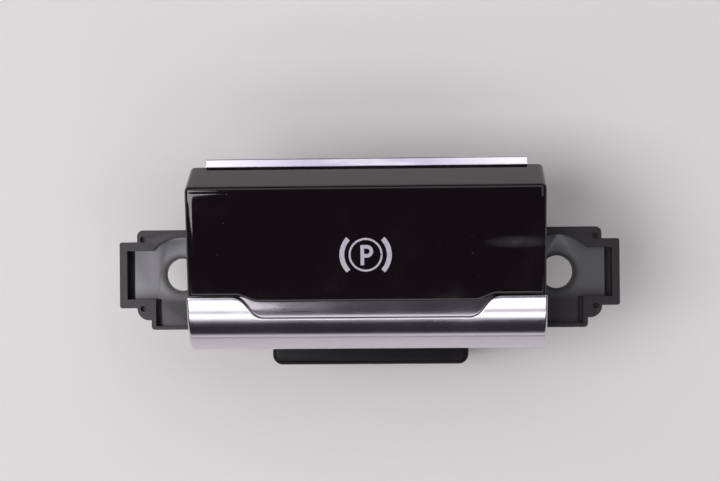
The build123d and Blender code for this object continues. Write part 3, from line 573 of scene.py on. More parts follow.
# Front lip
def lip_arcs():
    """Centres of the crown, nose and curl, for arcs that join with one tangent."""
    gap = CROWN_RADIUS - NOSE_RADIUS
    ahead, under = gap * math.sin(NOSE_TILT), gap * math.cos(NOSE_TILT)
    lean = math.asin((NOSE_Y + ahead - LIP_REAR_Y) / CROWN_RADIUS)
    nose = np.array([NOSE_Y, LIP_TOP_Z - CROWN_RADIUS * math.cos(lean) + under])
    return nose + np.array([ahead, -under]), nose, nose - np.array([NOSE_RADIUS - CURL_RADIUS, 0])


def lip_arch():
    """The arched underside from the curl's lowest point to the lip's rear edge, a parabola over its chord."""
    low = lip_arcs()[2] - np.array([0, CURL_RADIUS])
    chord = np.array([LIP_REAR_Y, SKIRT_FRONT_Z]) - low
    t = column(16)
    return low + chord * t + square_to(chord) / np.hypot(*chord) * FINGER_ARCH * 4 * t * (1 - t)


def lip_surface(end, scoop_edge, cove, dish, rise, count):
    """Outer and inner skin of the lip on one grid. Section: scoop floor that rises as a parabola towards its
    front line, quarter-ellipse cove, small round edge, crown arc, nose arc and curl arc; the scoop's outline
    follows the S-bend across x, and the cove is measured square to that outline."""
    crown, nose, curl = lip_arcs()
    x = stations(LIP_HALF - end, 2.2, 1.8)
    depth = s_bend(x, SCOOP_REACH)[:, None]
    square = 1 / np.sqrt(1 + np.gradient(depth[:, 0], x) ** 2)[:, None]
    edge_y = LIP_REAR_Y - depth
    edge_z = crown[1] + CROWN_RADIUS * np.sin(np.arccos((edge_y - crown[0]) / CROWN_RADIUS))
    join_angle = np.arccos((edge_y - scoop_edge - crown[0]) / CROWN_RADIUS)
    reach = depth * square
    first = np.arcsin(np.clip(1 - reach / cove, 0, 1))
    floor_share = np.linspace(0, 1, count)[:-1]
    angle = between(first, math.pi / 2, np.linspace(0, 1, count + 4))
    floor_out = between(reach, np.minimum(reach, cove), floor_share)
    out = np.concatenate([floor_out, cove * (1 - np.sin(angle))], 1)
    scoop_y = edge_y + out / square
    dished = rise * np.clip(1 - (scoop_y - LIP_REAR_Y + SCOOP_REACH) / dish, 0, 1) ** 2
    steep = edge_z - scoop_edge - SCOOP_FLOOR_Z - dished[:, -1:]
    lifting = 1 - np.cos(np.concatenate([np.repeat(first, len(floor_share), 1), angle], 1))
    rounding = bezier(
        np.stack([edge_y, edge_z - scoop_edge], -1), np.stack([edge_y, edge_z], -1),
        circle_point(crown, CROWN_RADIUS, join_angle), column(9, 1))
    crown_angle = between(join_angle, math.pi / 2 + NOSE_TILT, np.linspace(0, 1, count + 1)[1:])
    nose_angle = np.linspace(math.pi / 2 + NOSE_TILT, math.pi, 2 * count + 1)[1:]
    curl_angle = np.linspace(math.pi, 1.5 * math.pi, count + 1)[1:]
    under = np.concatenate([
        circle_point(nose, NOSE_RADIUS, nose_angle), circle_point(curl, CURL_RADIUS, curl_angle)])
    profile = np.concatenate([
        np.stack([scoop_y, SCOOP_FLOOR_Z + dished + steep * lifting], -1), rounding,
        circle_point(crown, CROWN_RADIUS, crown_angle), repeated(under, x),
    ], 1)

    scooped = scoop_y.shape[1] + rounding.shape[1]
    up = np.array([0.0, 1.0])
    lean = np.concatenate([
        np.tile(up, (scooped, 1)),
        between(0.6 * up, 0, column(count)) + heading(crown_angle[0]) * between(0.4, 1, column(count)),
        heading(nose_angle),
        heading(curl_angle),
    ])
    bottom = profile[0] - lean * end
    share = shares(bottom)
    close = along(np.concatenate([[bottom[0]], lip_arch()[::-1]]), share) + up * end * share[:, None] ** 8
    front_share = (LIP_REAR_Y - profile[:, :scooped, 0]) / (LIP_REAR_Y - profile[:, scooped - 1:scooped, 0])
    inside = lip_inside(x, front_share, join_angle, crown_angle, nose_angle, count)
    return x, profile, lean, close, inside


def lip_inside(x, front_share, join_angle, crown_angle, nose_angle, count):
    """Inner skin on the outer skin's grid: crown, nose and curl moved in by the wall's width, then straight
    up to the arch, all kept below a ceiling that sinks under the scoop."""
    crown, nose, curl = lip_arcs()
    radius = CROWN_RADIUS - LIP_WALL
    sunk = s_bend(np.maximum(np.abs(x) - CEILING_LAG, 0), 1.0)[:, None]
    head_y = between(LIP_REAR_Y, np.minimum(crown[0] + radius * np.cos(join_angle), LIP_REAR_Y), front_share)
    head_z = crown[1] + np.sqrt(radius**2 - (head_y - crown[0]) ** 2)
    foot = count // 2
    foot_angle = np.linspace(math.pi, 1.5 * math.pi, foot + 1)[1:]
    rim_y = curl[0] + LIP_WALL
    corner = np.array([rim_y, curl[1] - CURL_RADIUS + LIP_WALL])
    rim = np.array([rim_y, np.interp(rim_y, *lip_arch().T)])
    tail = np.concatenate([
        circle_point(nose, NOSE_RADIUS - LIP_WALL, nose_angle),
        circle_point(curl, CURL_RADIUS - LIP_WALL, foot_angle),
        between(corner, rim, column(count - foot)),
    ])
    inside = np.concatenate([
        np.stack([head_y, head_z], -1), circle_point(crown, radius, crown_angle), repeated(tail, x)], 1)
    inside[..., 1] = np.minimum(inside[..., 1], between(LIP_TOP_Z, LIP_CEILING_Z, sunk))
    return inside


# Rear strip
def strip_loop(edge):
    """Closed (y, z) outline of the strip, an angle whose shown face falls to the rear, and its outward
    directions; each corner stands with its radius."""
    (y0, z0), (y1, z1) = STRIP_LOW[1:], STRIP_HIGH[1:]
    fall = (y1 - SKIRT_REAR_Y) * math.tan(STRIP_FALL)
    plate_y, plate_z = y1 - STRIP_PLATE, z1 - STRIP_PLATE
    return rounded_loop([
        ((y0, z1), 0.12), ((SKIRT_REAR_Y, z1), 0.3), ((y1, z1 - fall), edge), ((y1, z0), edge),
        ((plate_y, z0), edge * 0.8), ((plate_y, plate_z), 0.1), ((y0, plate_z), 0.12),
    ])


def rounded_loop(corners):
    """Closed outline through corners, each given as ((a, b), radius) and rounded by a quadratic curve, with
    the outward direction at every point."""
    points, lean = [], []
    t = column(7)
    for k, (corner, radius) in enumerate(corners):
        here = np.array(corner)
        before = np.array(corners[k - 1][0]) - here
        after = np.array(corners[(k + 1) % len(corners)][0]) - here
        before, after = before / np.hypot(*before), after / np.hypot(*after)
        points.append(bezier(here + before * radius, here, here + after * radius, t))
        lean.append(between(-after, -before, t))
    lean = np.concatenate(lean)
    return np.concatenate(points), lean / np.hypot(*lean.T)[:, None]


def bar(name, loop, lean, half, edge):
    """A solid bar along x: the loop is carried from end to end, and at each end it shrinks along lean by
    edge * (1 - cos) while x grows by edge * sin, then a flat face closes it."""
    angle = np.linspace(0, math.pi / 2, 7)[1:]
    middle = np.linspace(edge - half, half - edge, 25)
    out, sink = half - edge + edge * np.sin(angle), edge * (1 - np.cos(angle))
    x = np.concatenate([-out[::-1], middle, out])
    sink = np.concatenate([sink[::-1], np.zeros(len(middle)), sink])
    points = carried(x, loop - lean * sink[:, None, None])
    count = len(loop)
    faces = [list(f) for f in grid_faces(len(x), count, ring=True)]
    faces += [list(range(count)), list(range((len(x) - 1) * count, len(x) * count))]
    return new_piece(name, points, faces)


# Round pieces
def tube(name, path, radius, sides):
    """A round tube along a path: each ring lies square to the path, turned so that it doesn't twist, and both
    ends close in a point."""
    tangent = np.gradient(path, axis=0)
    tangent /= np.linalg.norm(tangent, axis=1)[:, None]
    side = np.cross(tangent, np.array([0.0, 0.0, 1.0]))
    side /= np.linalg.norm(side, axis=1)[:, None]
    up = np.cross(side, tangent)
    turn = heading(round_angles(sides))[None]
    ring = path[:, None] + (turn[..., :1] * side[:, None] + turn[..., 1:] * up[:, None]) * radius
    points = np.concatenate([np.tile(path[0], (1, sides, 1)), ring, np.tile(path[-1], (1, sides, 1))])
    return new_piece(name, points, grid_faces(len(points), sides, ring=True), ROUND_CREASE)


def turned(name, centre, outline, sides):
    """A (radius, z) outline spun about the upright axis through centre."""
    ring = circle_point(centre, outline[:, :1, None], round_angles(sides))
    points = raised(ring, outline[:, 1:, None])
    return new_piece(name, points, grid_faces(len(outline), sides, ring=True), ROUND_CREASE)


def spring_piece(name, x, y, wire, turns):
    """Round-wire spring: a helix whose rise eases in and out, so that the first and last three quarters of a
    turn lie flat, swept as a tube."""
    flat, points_a_turn = 0.75, 26
    turn = np.linspace(0, turns + 2 * flat, int((turns + 2 * flat) * points_a_turn))
    share = np.clip((turn - flat) / turns, 0, 1)
    ease = share - 0.35 * np.sin(2 * math.pi * share) / (2 * math.pi)
    height = between(DECK_Z + wire / 2, HEAD_LOW_Z - wire / 2, ease)
    path = raised(circle_point((x, y), SPRING_RADIUS, 2 * math.pi * turn), height[:, None])
    return tube(name, path, wire / 2, 10)


def plunger_piece(name, x, y):
    """Mushroom plunger: an outline of straight runs and small arcs spun about its axis."""
    head, stem, tip = 2.6, 1.6, 1.1
    rim, root, tip_edge = 0.22, 0.2, 0.25
    outline = np.concatenate([
        [[0, HEAD_TOP_Z], [0.5, HEAD_TOP_Z]],
        arc_rows((head - rim, HEAD_TOP_Z - rim), rim, 90, 0),
        arc_rows((head - rim, HEAD_LOW_Z + rim), rim, 0, -90),
        arc_rows((stem + root, HEAD_LOW_Z - root), root, 90, 180),
        [[stem, HEAD_LOW_Z - 3.2], [stem, TIP_Z + 0.9]],
        arc_rows((tip - tip_edge, TIP_Z + tip_edge), tip_edge, 0, -90),
        [[0, TIP_Z]],
    ])
    return turned(name, (x, y), outline, 56)


def dome_piece(name, x, y):
    """Snap dome: foot ring, thin bell that curves in to a thick top with a shallow dish, and its hollow, as
    one closed outline spun about the axis; the bell is a cosine from foot to top."""
    foot, top, step, height, edge = 2.65, 1.55, 0.2, 1.75, 0.25
    hollow_foot, hollow_draw, hollow_top = 2.15, 0.765, 0.7
    t = np.linspace(0, 1, 12)
    ease = (1 - np.cos(math.pi * t)) / 2
    outline = np.concatenate([
        [[0, 1.9], [0.7, 1.93]],
        arc_rows((top - edge, height), edge, 90, 0),
        np.stack([foot - (foot - top) * ease, between(step, height, t)], -1)[::-1],
        [[foot, 0]],
        np.stack([hollow_foot - hollow_draw * ease, hollow_top * t], -1),
        [[0, 0.75]],
    ])
    return turned(name, (x, y), outline + np.array([0, BOARD_Z]), 48)


def screw_piece(name, places):
    """Pan-head screws. One grid runs from the middle of a six-lobed recess, whose outline is a circle plus a
    cosine, out over the head, up the neck and along the thread, where the radius follows the height and the
    turn as a helix of rounded ridges, to the point."""
    sides, pitch, core, ridge_height, point = 48, 0.9, 0.86, 0.24, 1.5
    angle = round_angles(sides)
    lobe = 1.02 + 0.16 * np.cos(6 * angle)
    # share of the recess's outline, radius added to it, height above the head's lowest face
    head = [
        (0, 0, 0.95), (0.5, 0, 0.95), (0.93, 0, 0.92), (0.97, 0, 0.85), (1, 0, 0.12), (1, 0.05, 0.03),
        (1, 0.12, 0),
        (0.4, 1.2, 0.02)]
    head += [(0, r, z) for r, z in arc_rows((1.7, 0.7), 0.7, -90, 0, 7)]
    head += [(0, 2.4, 1.45), (0, 2.33, 1.58), (0, 1.25, 1.6), (0, 1.1, 1.75)]
    share, added, height = np.array(head).T[..., None]
    begin, end = SCREW_HEAD_Z + 1.9, SCREW_TIP_Z - point
    taper = column(16, 1)
    z = np.concatenate([np.linspace(begin, end, 110)[:, None], end + point * taper])
    phase = (z - begin) / pitch - angle / (2 * math.pi)
    ridge = ridge_height * np.clip(1 - 3.2 * np.abs(phase % 1 - 0.5), 0, 1)
    fade = np.clip((z - begin) / 0.8, 0, 1)
    left = np.concatenate([np.zeros((110, 1)), taper])
    thread = core * (1 - left**1.3) + ridge * fade * (1 - left) + 0.2 * (1 - fade)
    radius = np.concatenate([share * lobe + added, thread])[..., None]
    z = np.concatenate([SCREW_HEAD_Z + height, z])[..., None]
    faces = grid_faces(len(z), sides, ring=True)
    points = [raised(circle_point(place, radius, angle), z) for place in places]
    faces = np.concatenate([faces + n * len(z) * sides for n in range(len(places))])
    return new_piece(name, np.concatenate(points), faces, 38)


# Shader wiring
def rgba(colour):
    """The colour with full cover."""
    return tuple(colour)[:3] + (1.0,)


def toned(colour, share):
    """The colour made darker or, by a share above one, lighter."""
    return tuple(c * share for c in tuple(colour)[:3])


class Wiring:
    """Adds nodes to a tree and links them in one call each."""

    def __init__(self, tree):
        self.tree = tree

    def put(self, socket, value):
        if isinstance(value, bpy.types.NodeSocket):
            self.tree.links.new(value, socket)
        else:
            socket.default_value = value

    def node(self, kind, inputs=None, **settings):
        made = self.tree.nodes.new(kind)
        for key, value in settings.items():
            setattr(made, key, value)
        for key, value in (inputs or {}).items():
            self.put(made.inputs[key], value)
        return made

    def math(self, operation, first, second=0.0, clamp=False):
        made = self.node("ShaderNodeMath", {0: first, 1: second}, operation=operation, use_clamp=clamp)
        return made.outputs[0]

    def times(self, first, second):
        return self.math("MULTIPLY", first, second)

    def plus(self, first, second, clamp=False):
        return self.math("ADD", first, second, clamp)

    def absolute(self, value):
        return self.math("ABSOLUTE", value)

    def ramp(self, value, low, high, to_low=0.0, to_high=1.0):
        return self.node("ShaderNodeMapRange", {
            "Value": value, "From Min": low, "From Max": high, "To Min": to_low, "To Max": to_high,
        }).outputs["Result"]

    def fade(self, value, low, high):
        """One up to low, nothing from high on."""
        return self.ramp(value, low, high, 1.0, 0.0)

    def mix(self, share, first, second):
        made = self.node("ShaderNodeMix", {"Factor": share}, data_type="RGBA")
        for place, value in ((6, first), (7, second)):
            self.put(made.inputs[place], value if isinstance(value, bpy.types.NodeSocket) else rgba(value))
        return made.outputs[2]

    def varied(self, share, colour, low, high):
        """A colour that drifts between two tones of itself."""
        return self.mix(share, toned(colour, low), toned(colour, high))

    def place(self):
        return self.node("ShaderNodeTexCoord").outputs["Object"]

    def axes(self, vector):
        return self.node("ShaderNodeSeparateXYZ", {0: vector}).outputs

    def length(self, vector):
        return self.node("ShaderNodeVectorMath", {0: vector}, operation="LENGTH").outputs["Value"]

    def stretched(self, vector, scale):
        return self.node("ShaderNodeVectorMath", {0: vector, 1: scale}, operation="MULTIPLY").outputs[0]

    def streaks(self, vector, turn, narrow):
        """Places turned about +Z and squeezed, so that a texture on them draws long marks."""
        return self.node("ShaderNodeMapping", {
            "Vector": vector, "Rotation": (0, 0, turn), "Scale": (1, narrow, narrow)}).outputs[0]

    def noise(self, vector, scale, detail=3.0, roughness=0.5):
        return self.node("ShaderNodeTexNoise", {
            "Vector": vector, "Scale": scale, "Detail": detail, "Roughness": roughness}).outputs[0]

    def cells(self, vector, scale, inputs=None, **settings):
        return self.node(
            "ShaderNodeTexVoronoi", {"Vector": vector, "Scale": scale, **(inputs or {})}, **settings).outputs


def grain(w, place, inputs):
    """Eroded tool texture: rounded cells broken up by noise, with a slow change of tone."""
    cells = w.cells(place, inputs["Cells"], {"Smoothness": 0.6}, feature="SMOOTH_F1")["Distance"]
    fine = w.noise(place, w.times(inputs["Cells"], 0.7), 4, 0.6)
    tone = w.noise(place, inputs["Tone"], 4, 0.6)
    scuff = w.ramp(w.noise(w.streaks(place, 0.6, 9), 260, 3, 0.55), 0.66, 0.74)
    return w.plus(w.times(cells, 0.7), w.times(fine, 0.6)), tone, scuff


def handling(w, place, inputs):
    """Traces of handling on gloss: soft finger smears, hair-thin wiping marks and tiny dust specks."""
    smear = w.ramp(w.noise(place, inputs["Smear"], 5, 0.62), 0.5, 0.75)
    hair = w.ramp(w.noise(w.streaks(place, 0.35, 22), 170, 2, 0.5), 0.71, 0.74)
    cells = w.cells(place, inputs["Specks"], {"Randomness": 1.0}, feature="F1")
    pick = w.node("ShaderNodeSeparateColor", {"Color": cells["Color"]}).outputs[0]
    return smear, hair, w.times(w.fade(cells["Distance"], 0.06, 0.16), w.math("GREATER_THAN", pick, 0.985))


def metal(w, place, inputs):
    """Pearl of satin plating and drawn metal: very fine pits, and hairlines stretched along x."""
    scale = w.node("ShaderNodeCombineXYZ", {0: 1.0, 1: inputs["Stretch"], 2: inputs["Stretch"]}).outputs[0]
    lines = w.noise(w.stretched(place, scale), w.math("DIVIDE", inputs["Lines"], 10.0), 5, 0.65)
    return w.noise(place, inputs["Pits"], 3, 0.6), lines, w.noise(place, 95, 4, 0.55)


# Effects: their number inputs with defaults, their number outputs, and how they are worked out
EFFECTS = {
    "Moulded grain": ({"Cells": 4000.0, "Tone": 120.0}, ("Height", "Tone", "Scuff"), grain),
    "Handling marks": ({"Smear": 60.0, "Specks": 900.0}, ("Smear", "Hairline", "Dust"), handling),
    "Metal surface": ({"Pits": 9000.0, "Lines": 1400.0, "Stretch": 14.0}, ("Pits", "Lines", "Cloud"), metal),
}


def effect(name):
    """The named effect as a shader node group, made once."""
    if name in bpy.data.node_groups:
        return bpy.data.node_groups[name]
    tree = bpy.data.node_groups.new(name, "ShaderNodeTree")
    inputs, outputs, work_out = EFFECTS[name]
    for label, value in inputs.items():
        socket = tree.interface.new_socket(name=label, in_out="INPUT", socket_type="NodeSocketFloat")
        socket.default_value = value
    for label in outputs:
        tree.interface.new_socket(name=label, in_out="OUTPUT", socket_type="NodeSocketFloat")
    w = Wiring(tree)
    source = tree.nodes.new("NodeGroupInput")
    target = tree.nodes.new("NodeGroupOutput")
    for label, socket in zip(outputs, work_out(w, w.place(), source.outputs)):
        w.put(target.inputs[label], socket)
    return tree


class Look(Wiring):
    """A material with its constant values on the shader's own sockets, and its wiring."""

    def __init__(self, name, colour, rough, metallic=0.0, **sockets):
        self.material = bpy.data.materials.new(name)
        self.material.use_nodes = True
        super().__init__(self.material.node_tree)
        self.feed(Base_Color=rgba(colour), Roughness=rough, Metallic=metallic, **sockets)

    def feed(self, **sockets):
        """Sets or links the shader's sockets, written with _ for each space."""
        shader = self.tree.nodes["Principled BSDF"]
        for key, value in sockets.items():
            self.put(shader.inputs[key.replace("_", " ")], value)

    def use(self, name, **values):
        """Places an effect in the material with its own values."""
        return self.node("ShaderNodeGroup", values, node_tree=effect(name)).outputs

    def finish(self, base, rough, height, strength, distance):
        """Feeds colour, roughness and a height, whose distance is in millimetres, and gives the material."""
        made = self.node("ShaderNodeBump", {
            "Height": height, "Strength": strength, "Distance": distance * MM})
        self.feed(Base_Color=base, Roughness=rough, Normal=made.outputs["Normal"])
        return self.material


def moulded_look(name, colour, rough, cell=0.22, depth=0.02, tone=0.35, scuff=0.25, specular=0.5, ears=False):
    """Moulded plastic: tool grain, slow tone changes, and pale scuffs that shine differently; with ears, a
    painted sheen on the ears.
    """
    look = Look(name, colour, rough, Specular_IOR_Level=specular)
    out = look.use("Moulded grain", Cells=1000 / cell)
    pale = tuple(min(1.0, c * 2.2 + 0.012) for c in tuple(colour)[:3])
    base = look.varied(out["Tone"], colour, 1 - tone, 1 + tone)
    base = look.mix(look.times(out["Scuff"], scuff), base, pale)
    shine = look.ramp(out["Tone"], 0.3, 0.7, rough - 0.05, rough + 0.06)
    shine = look.plus(shine, look.times(out["Scuff"], -0.06))
    if ears:
        base, shine = ears_painted_sheen(look, base, shine)
    return look.finish(base, shine, out["Height"], 0.55, depth)


def ears_painted_sheen(look, base, shine):
    """The ears in a lighter tone than the housing, which is a painted sheen, and their flat seats in a
    lavender painted sheen tone and smoother, apart from a ring round each hole and a front part; a thin coat
    gives both their shine."""
    axes = look.axes(look.place())
    across = look.absolute(axes["X"])
    off = look.math("SUBTRACT", across, EAR_HOLE_X * MM)
    away = look.length(look.node("ShaderNodeCombineXYZ", {0: off, 1: axes["Y"]}).outputs[0])
    level = look.fade(look.absolute(axes["Z"]), *(z * MM for z in SEAT_LEVEL))
    # Mask of the flat seats: their painted sheen tone, a fuller coat and lower roughness
    seat_sheen_mask = look.times(level, look.ramp(away, *(r * MM for r in SEAT_RING)))
    seat_sheen_mask = look.times(seat_sheen_mask, look.ramp(axes["Y"], *(y * MM for y in SEAT_FRONT_Y), 0.05, 1.0))
    on_ear = look.ramp(across, *(x * MM for x in EAR_ROOT_X))
    seat_sheen_mask = look.times(seat_sheen_mask, on_ear)
    sheen = look.plus(look.times(on_ear, 0.12), seat_sheen_mask, clamp=True)
    look.feed(Coat_Weight=sheen, Coat_Roughness=0.34, Coat_IOR=1.95)
    # Painted sheen: the ears' lighter tone, and the seats' lavender tone over it
    base = look.mix(seat_sheen_mask, look.mix(on_ear, base, EAR_PAINTED_SHEEN), SEAT_PAINTED_SHEEN)
    return base, look.math("SUBTRACT", shine, look.times(seat_sheen_mask, 0.05))


def gloss_look(colour):
    """Gloss black: a clear hard surface with faint smears, hairlines, dust and one soft painted reflection
    patch.
    """
    look = Look("Gloss black", colour, 0.05)
    out = look.use("Handling marks", Smear=55.0, Specks=1500.0)
    place = look.place()
    # Painted reflection: a soft pale patch on the right of the cap
    spot = look.node("ShaderNodeMapping", {
        "Vector": place, "Location": REFLECTION_PATCH_PLACE, "Scale": REFLECTION_PATCH_SIZE}, vector_type="TEXTURE").outputs[0]
    painted_reflection = look.fade(look.length(spot), 0.15, 1.0)
    painted_reflection = look.times(painted_reflection, look.ramp(look.noise(place, 420, 4, 0.6), 0.3, 0.7, 0.55, 1.0))
    base = look.mix(look.times(out["Dust"], 0.10), colour, (0.42, 0.40, 0.40))
    base = look.mix(look.times(painted_reflection, 0.15), base, (0.30, 0.29, 0.34))
    base = look.mix(look.times(out["Smear"], 0.010), base, (0.3, 0.29, 0.32))
    shine = look.ramp(out["Smear"], 0.0, 1.0, 0.035, 0.11)
    shine = look.plus(shine, look.times(out["Dust"], 0.3), clamp=True)
    return look.finish(base, shine, look.times(out["Hairline"], -1.0), 0.06, 0.002)


def plated_look(name, colour, rough, pits, cloud, reflection_tint=None):
    """Plated metal: pearl pits, soft clouds in the shine, and a painted lavender reflection that drifts along
    the piece's middle."""
    look = Look(name, colour, rough, metallic=1.0)
    out = look.use("Metal surface")
    marks = look.use("Handling marks", Smear=90.0, Specks=1700.0)
    base = look.varied(out["Cloud"], colour, 0.93, 1.06)
    if reflection_tint:
        place = look.place()
        long_way = look.stretched(place, (1.0, 5.0, 5.0))
        reflection_drift = look.ramp(look.noise(long_way, 70, 3, 0.5), 0.30, 0.52, 0.25, 1.0)
        middle = look.times(look.fade(look.absolute(look.axes(place)["X"]), 0.012, 0.028), 0.8)
        # Painted reflection: the lavender tint along the piece's middle
        base = look.mix(look.times(reflection_drift, middle), base, reflection_tint)
    base = look.mix(look.times(marks["Dust"], 0.4), base, (0.9, 0.88, 0.88))
    shine = look.ramp(out["Cloud"], 0.3, 0.7, rough - cloud, rough + cloud)
    shine = look.plus(shine, look.times(marks["Smear"], 0.03))
    return look.finish(base, shine, out["Pits"], pits, 0.004)


def steel_look(name, colour, rough, stretch=14.0):
    """Drawn or turned steel with hairlines, and a faint dull film."""
    look = Look(name, colour, rough, metallic=1.0)
    out = look.use("Metal surface", Stretch=stretch, Pits=6000.0)
    shine = look.ramp(out["Lines"], 0.3, 0.7, rough - 0.08, rough + 0.1)
    height = look.plus(out["Lines"], look.times(out["Pits"], 0.3))
    return look.finish(look.varied(out["Cloud"], colour, 0.8, 1.12), shine, height, 0.35, 0.004)


def sign_look(colour):
    """Printed ink: slightly matt, uneven in cover, with a soft grain."""
    look = Look("Sign print", colour, 0.32)
    out = look.use("Moulded grain", Cells=9000.0, Tone=700.0)
    base, shine = look.varied(out["Tone"], colour, 0.86, 1.08), look.ramp(out["Tone"], 0.2, 0.8, 0.26, 0.4)
    return look.finish(base, shine, out["Height"], 0.2, 0.002)


def board_look(colour):
    """Green lacquer over copper: tracks in two directions, round vias with tinned rings, and weave."""
    look = Look("Board lacquer", colour, 0.32)
    place, track_pitch = look.place(), 0.9 * MM
    axes = look.axes(place)
    zones = look.cells(place, 150.0, distance="CHEBYCHEV")["Color"]
    zone = look.node("ShaderNodeSeparateColor", {"Color": zones}).outputs
    tracks = []
    for axis in (axes["X"], axes["Y"]):
        phase = look.math("FRACT", look.times(axis, 1 / track_pitch))
        tracks.append(look.fade(look.absolute(look.math("SUBTRACT", phase, 0.5)), 0.14, 0.19))
    pick = look.math("GREATER_THAN", zone[0], 0.5)
    lines = look.plus(look.times(tracks[0], pick), look.times(tracks[1], look.math("SUBTRACT", 1.0, pick)))
    lines = look.times(lines, look.math("GREATER_THAN", zone[1], 0.35))
    vias = look.cells(place, 260.0)["Distance"]
    ring = look.fade(vias, 0.10, 0.12)
    weave = look.node("ShaderNodeTexWave", {
        "Vector": place, "Scale": 420.0, "Distortion": 1.2}).outputs["Fac"]
    base = look.mix(look.times(weave, 0.35), colour, toned(colour, 1.35))
    base = look.mix(lines, base, (0.045, 0.19, 0.075))
    base = look.mix(ring, base, (0.52, 0.53, 0.50))
    base = look.mix(look.fade(vias, 0.045, 0.055), base, (0.01, 0.012, 0.01))
    look.feed(Metallic=look.times(ring, 0.8))
    return look.finish(base, 0.32, look.plus(lines, look.times(weave, 0.15)), 0.4, 0.03)


def clear_look(name, colour, rough, weight):
    """Clear or milky plastic: light passes through, with flow marks and a few specks."""
    look = Look(name, colour, rough, Transmission_Weight=weight, IOR=1.49)
    out = look.use("Metal surface", Stretch=3.0, Lines=500.0)
    shine = look.ramp(out["Lines"], 0.3, 0.7, max(rough - 0.04, 0.02), rough + 0.06)
    return look.finish(look.varied(out["Cloud"], colour, 0.94, 1.0), shine, out["Lines"], 0.12, 0.01)


def soft_look(name, colour, rough=0.62, weight=0.12):
    """Silicone or rubber: satin, slightly see-through at thin places, with dust in the grain."""
    look = Look(
        name, colour, rough, Subsurface_Weight=weight, Subsurface_Radius=(0.6, 0.5, 0.45),
        Subsurface_Scale=MM)
    out = look.use("Moulded grain", Cells=3500.0, Tone=210.0)
    base = look.varied(out["Tone"], colour, 0.8, 1.12)
    base = look.mix(look.times(out["Scuff"], 0.3), base, (0.5, 0.5, 0.5))
    shine = look.ramp(out["Tone"], 0.3, 0.7, rough - 0.07, rough + 0.07)
    return look.finish(base, shine, out["Height"], 0.5, 0.02)


# Operators, one for each piece or group of like pieces
class SWITCH_OT_cap(bpy.types.Operator):
    """Gloss black cap with its tongue, and the printed sign"""
    bl_idname = "switch.cap"
    bl_label = "Paddle cap"

    def execute(self, context):
        edge, side_rows = size("cap_edge"), 4
        rear = (size("cap_rear_fall"), size("cap_rear_roll"))
        side = (size("cap_side_fall"), size("cap_side_roll"))
        x, profile, lean, close, rows = cap_surface(edge, size("cap_ridge"), rear, side, steps())
        outer = rows_round_ends(x, profile, lean, edge, CAP_HALF, close, side_rows, 3 * side[0] / side[1])
        skin = wall("paddle_cap_skin", outer, cap_inside(x, rows, len(lean), close, side_rows))
        settle(skin, "paddle", "cap_gloss_black", gloss_look(colours().gloss), "paddle_cap")
        edges = [ring_sector(size("sign_ring"), RING_WIDTH, 0, 2 * math.pi, 97)]
        for turn in (0, math.pi):
            edges.append(ring_sector(size("sign_arc"), ARC_WIDTH, turn - ARC_REACH, turn + ARC_REACH, 41))
        sign = sign_plate("parking_sign", edges + letter_edges())
        settle(sign, "paddle", "diffuser_milky", sign_look(colours().sign))
        return {"FINISHED"}


class SWITCH_OT_lip(bpy.types.Operator):
    """Satin plated lip that the fingers pull"""
    bl_idname = "switch.lip"
    bl_label = "Front lip"

    def execute(self, context):
        keys = ("lip_end", "scoop_edge", "scoop_cove", "scoop_dish", "scoop_rise")
        x, profile, lean, close, inside = lip_surface(*(size(key) for key in keys), steps())
        side_rows, inner_half = 6, LIP_HALF - LIP_END_WALL
        outer = rows_round_ends(x, profile, lean, size("lip_end"), LIP_HALF, close, side_rows)
        inner_x = np.clip(x, -inner_half, inner_half)
        inner = rows_round_ends(inner_x, inside, np.zeros_like(lean), 0.0, inner_half, close, side_rows)
        look = plated_look("Satin plating", colours().satin, 0.14, 0.05, 0.015)
        settle(wall("front_lip_skin", outer, inner), "paddle", "lip_satin_chrome", look, "front_lip_trim")
        return {"FINISHED"}


class SWITCH_OT_strip(bpy.types.Operator):
    """Bright strip along the paddle's rear edge"""
    bl_idname = "switch.strip"
    bl_label = "Rear strip"

    def execute(self, context):
        skin = bar("rear_strip_skin", *strip_loop(size("strip_edge")), STRIP_HIGH[0], 0.1)
        # The lavender tint along the strip's middle is a painted reflection
        look = plated_look("Bright plating", colours().bright, 0.13, 0.04, 0.03, reflection_tint=(0.50, 0.46, 0.63))
        settle(skin, "paddle", "strip_chrome", look, "rear_trim_strip")
        return {"FINISHED"}


class SWITCH_OT_housing(bpy.types.Operator):
    """Upper housing and lower cover with their soft moulded edges"""
    bl_idname = "switch.housing"
    bl_label = "Housing and cover"

    def execute(self, context):
        # The housing's ears carry a painted sheen
        look = moulded_look("Housing plastic", colours().moulded, 0.36, depth=0.012, specular=0.14, ears=True)
        mould("upper_housing", "housing", "housing_black", look)
        look = moulded_look("Cover plastic", toned(colours().moulded, 0.9), 0.48, cell=0.3, depth=0.04)
        mould("lower_cover", "housing", "cover_black", look)
        return {"FINISHED"}


class SWITCH_OT_carrier(bpy.types.Operator):
    """Carrier under the cap and the milky plate behind the sign"""
    bl_idname = "switch.carrier"
    bl_label = "Carrier and diffuser"

    def execute(self, context):
        look = moulded_look("Carrier plastic", toned(colours().moulded, 1.1), 0.4, cell=0.25)
        mould("paddle_carrier", "paddle", "carrier_black", look, 0.6)
        dress("symbol_diffuser", clear_look("Milky plate", (0.85, 0.85, 0.82), 0.45, 0.35))
        return {"FINISHED"}


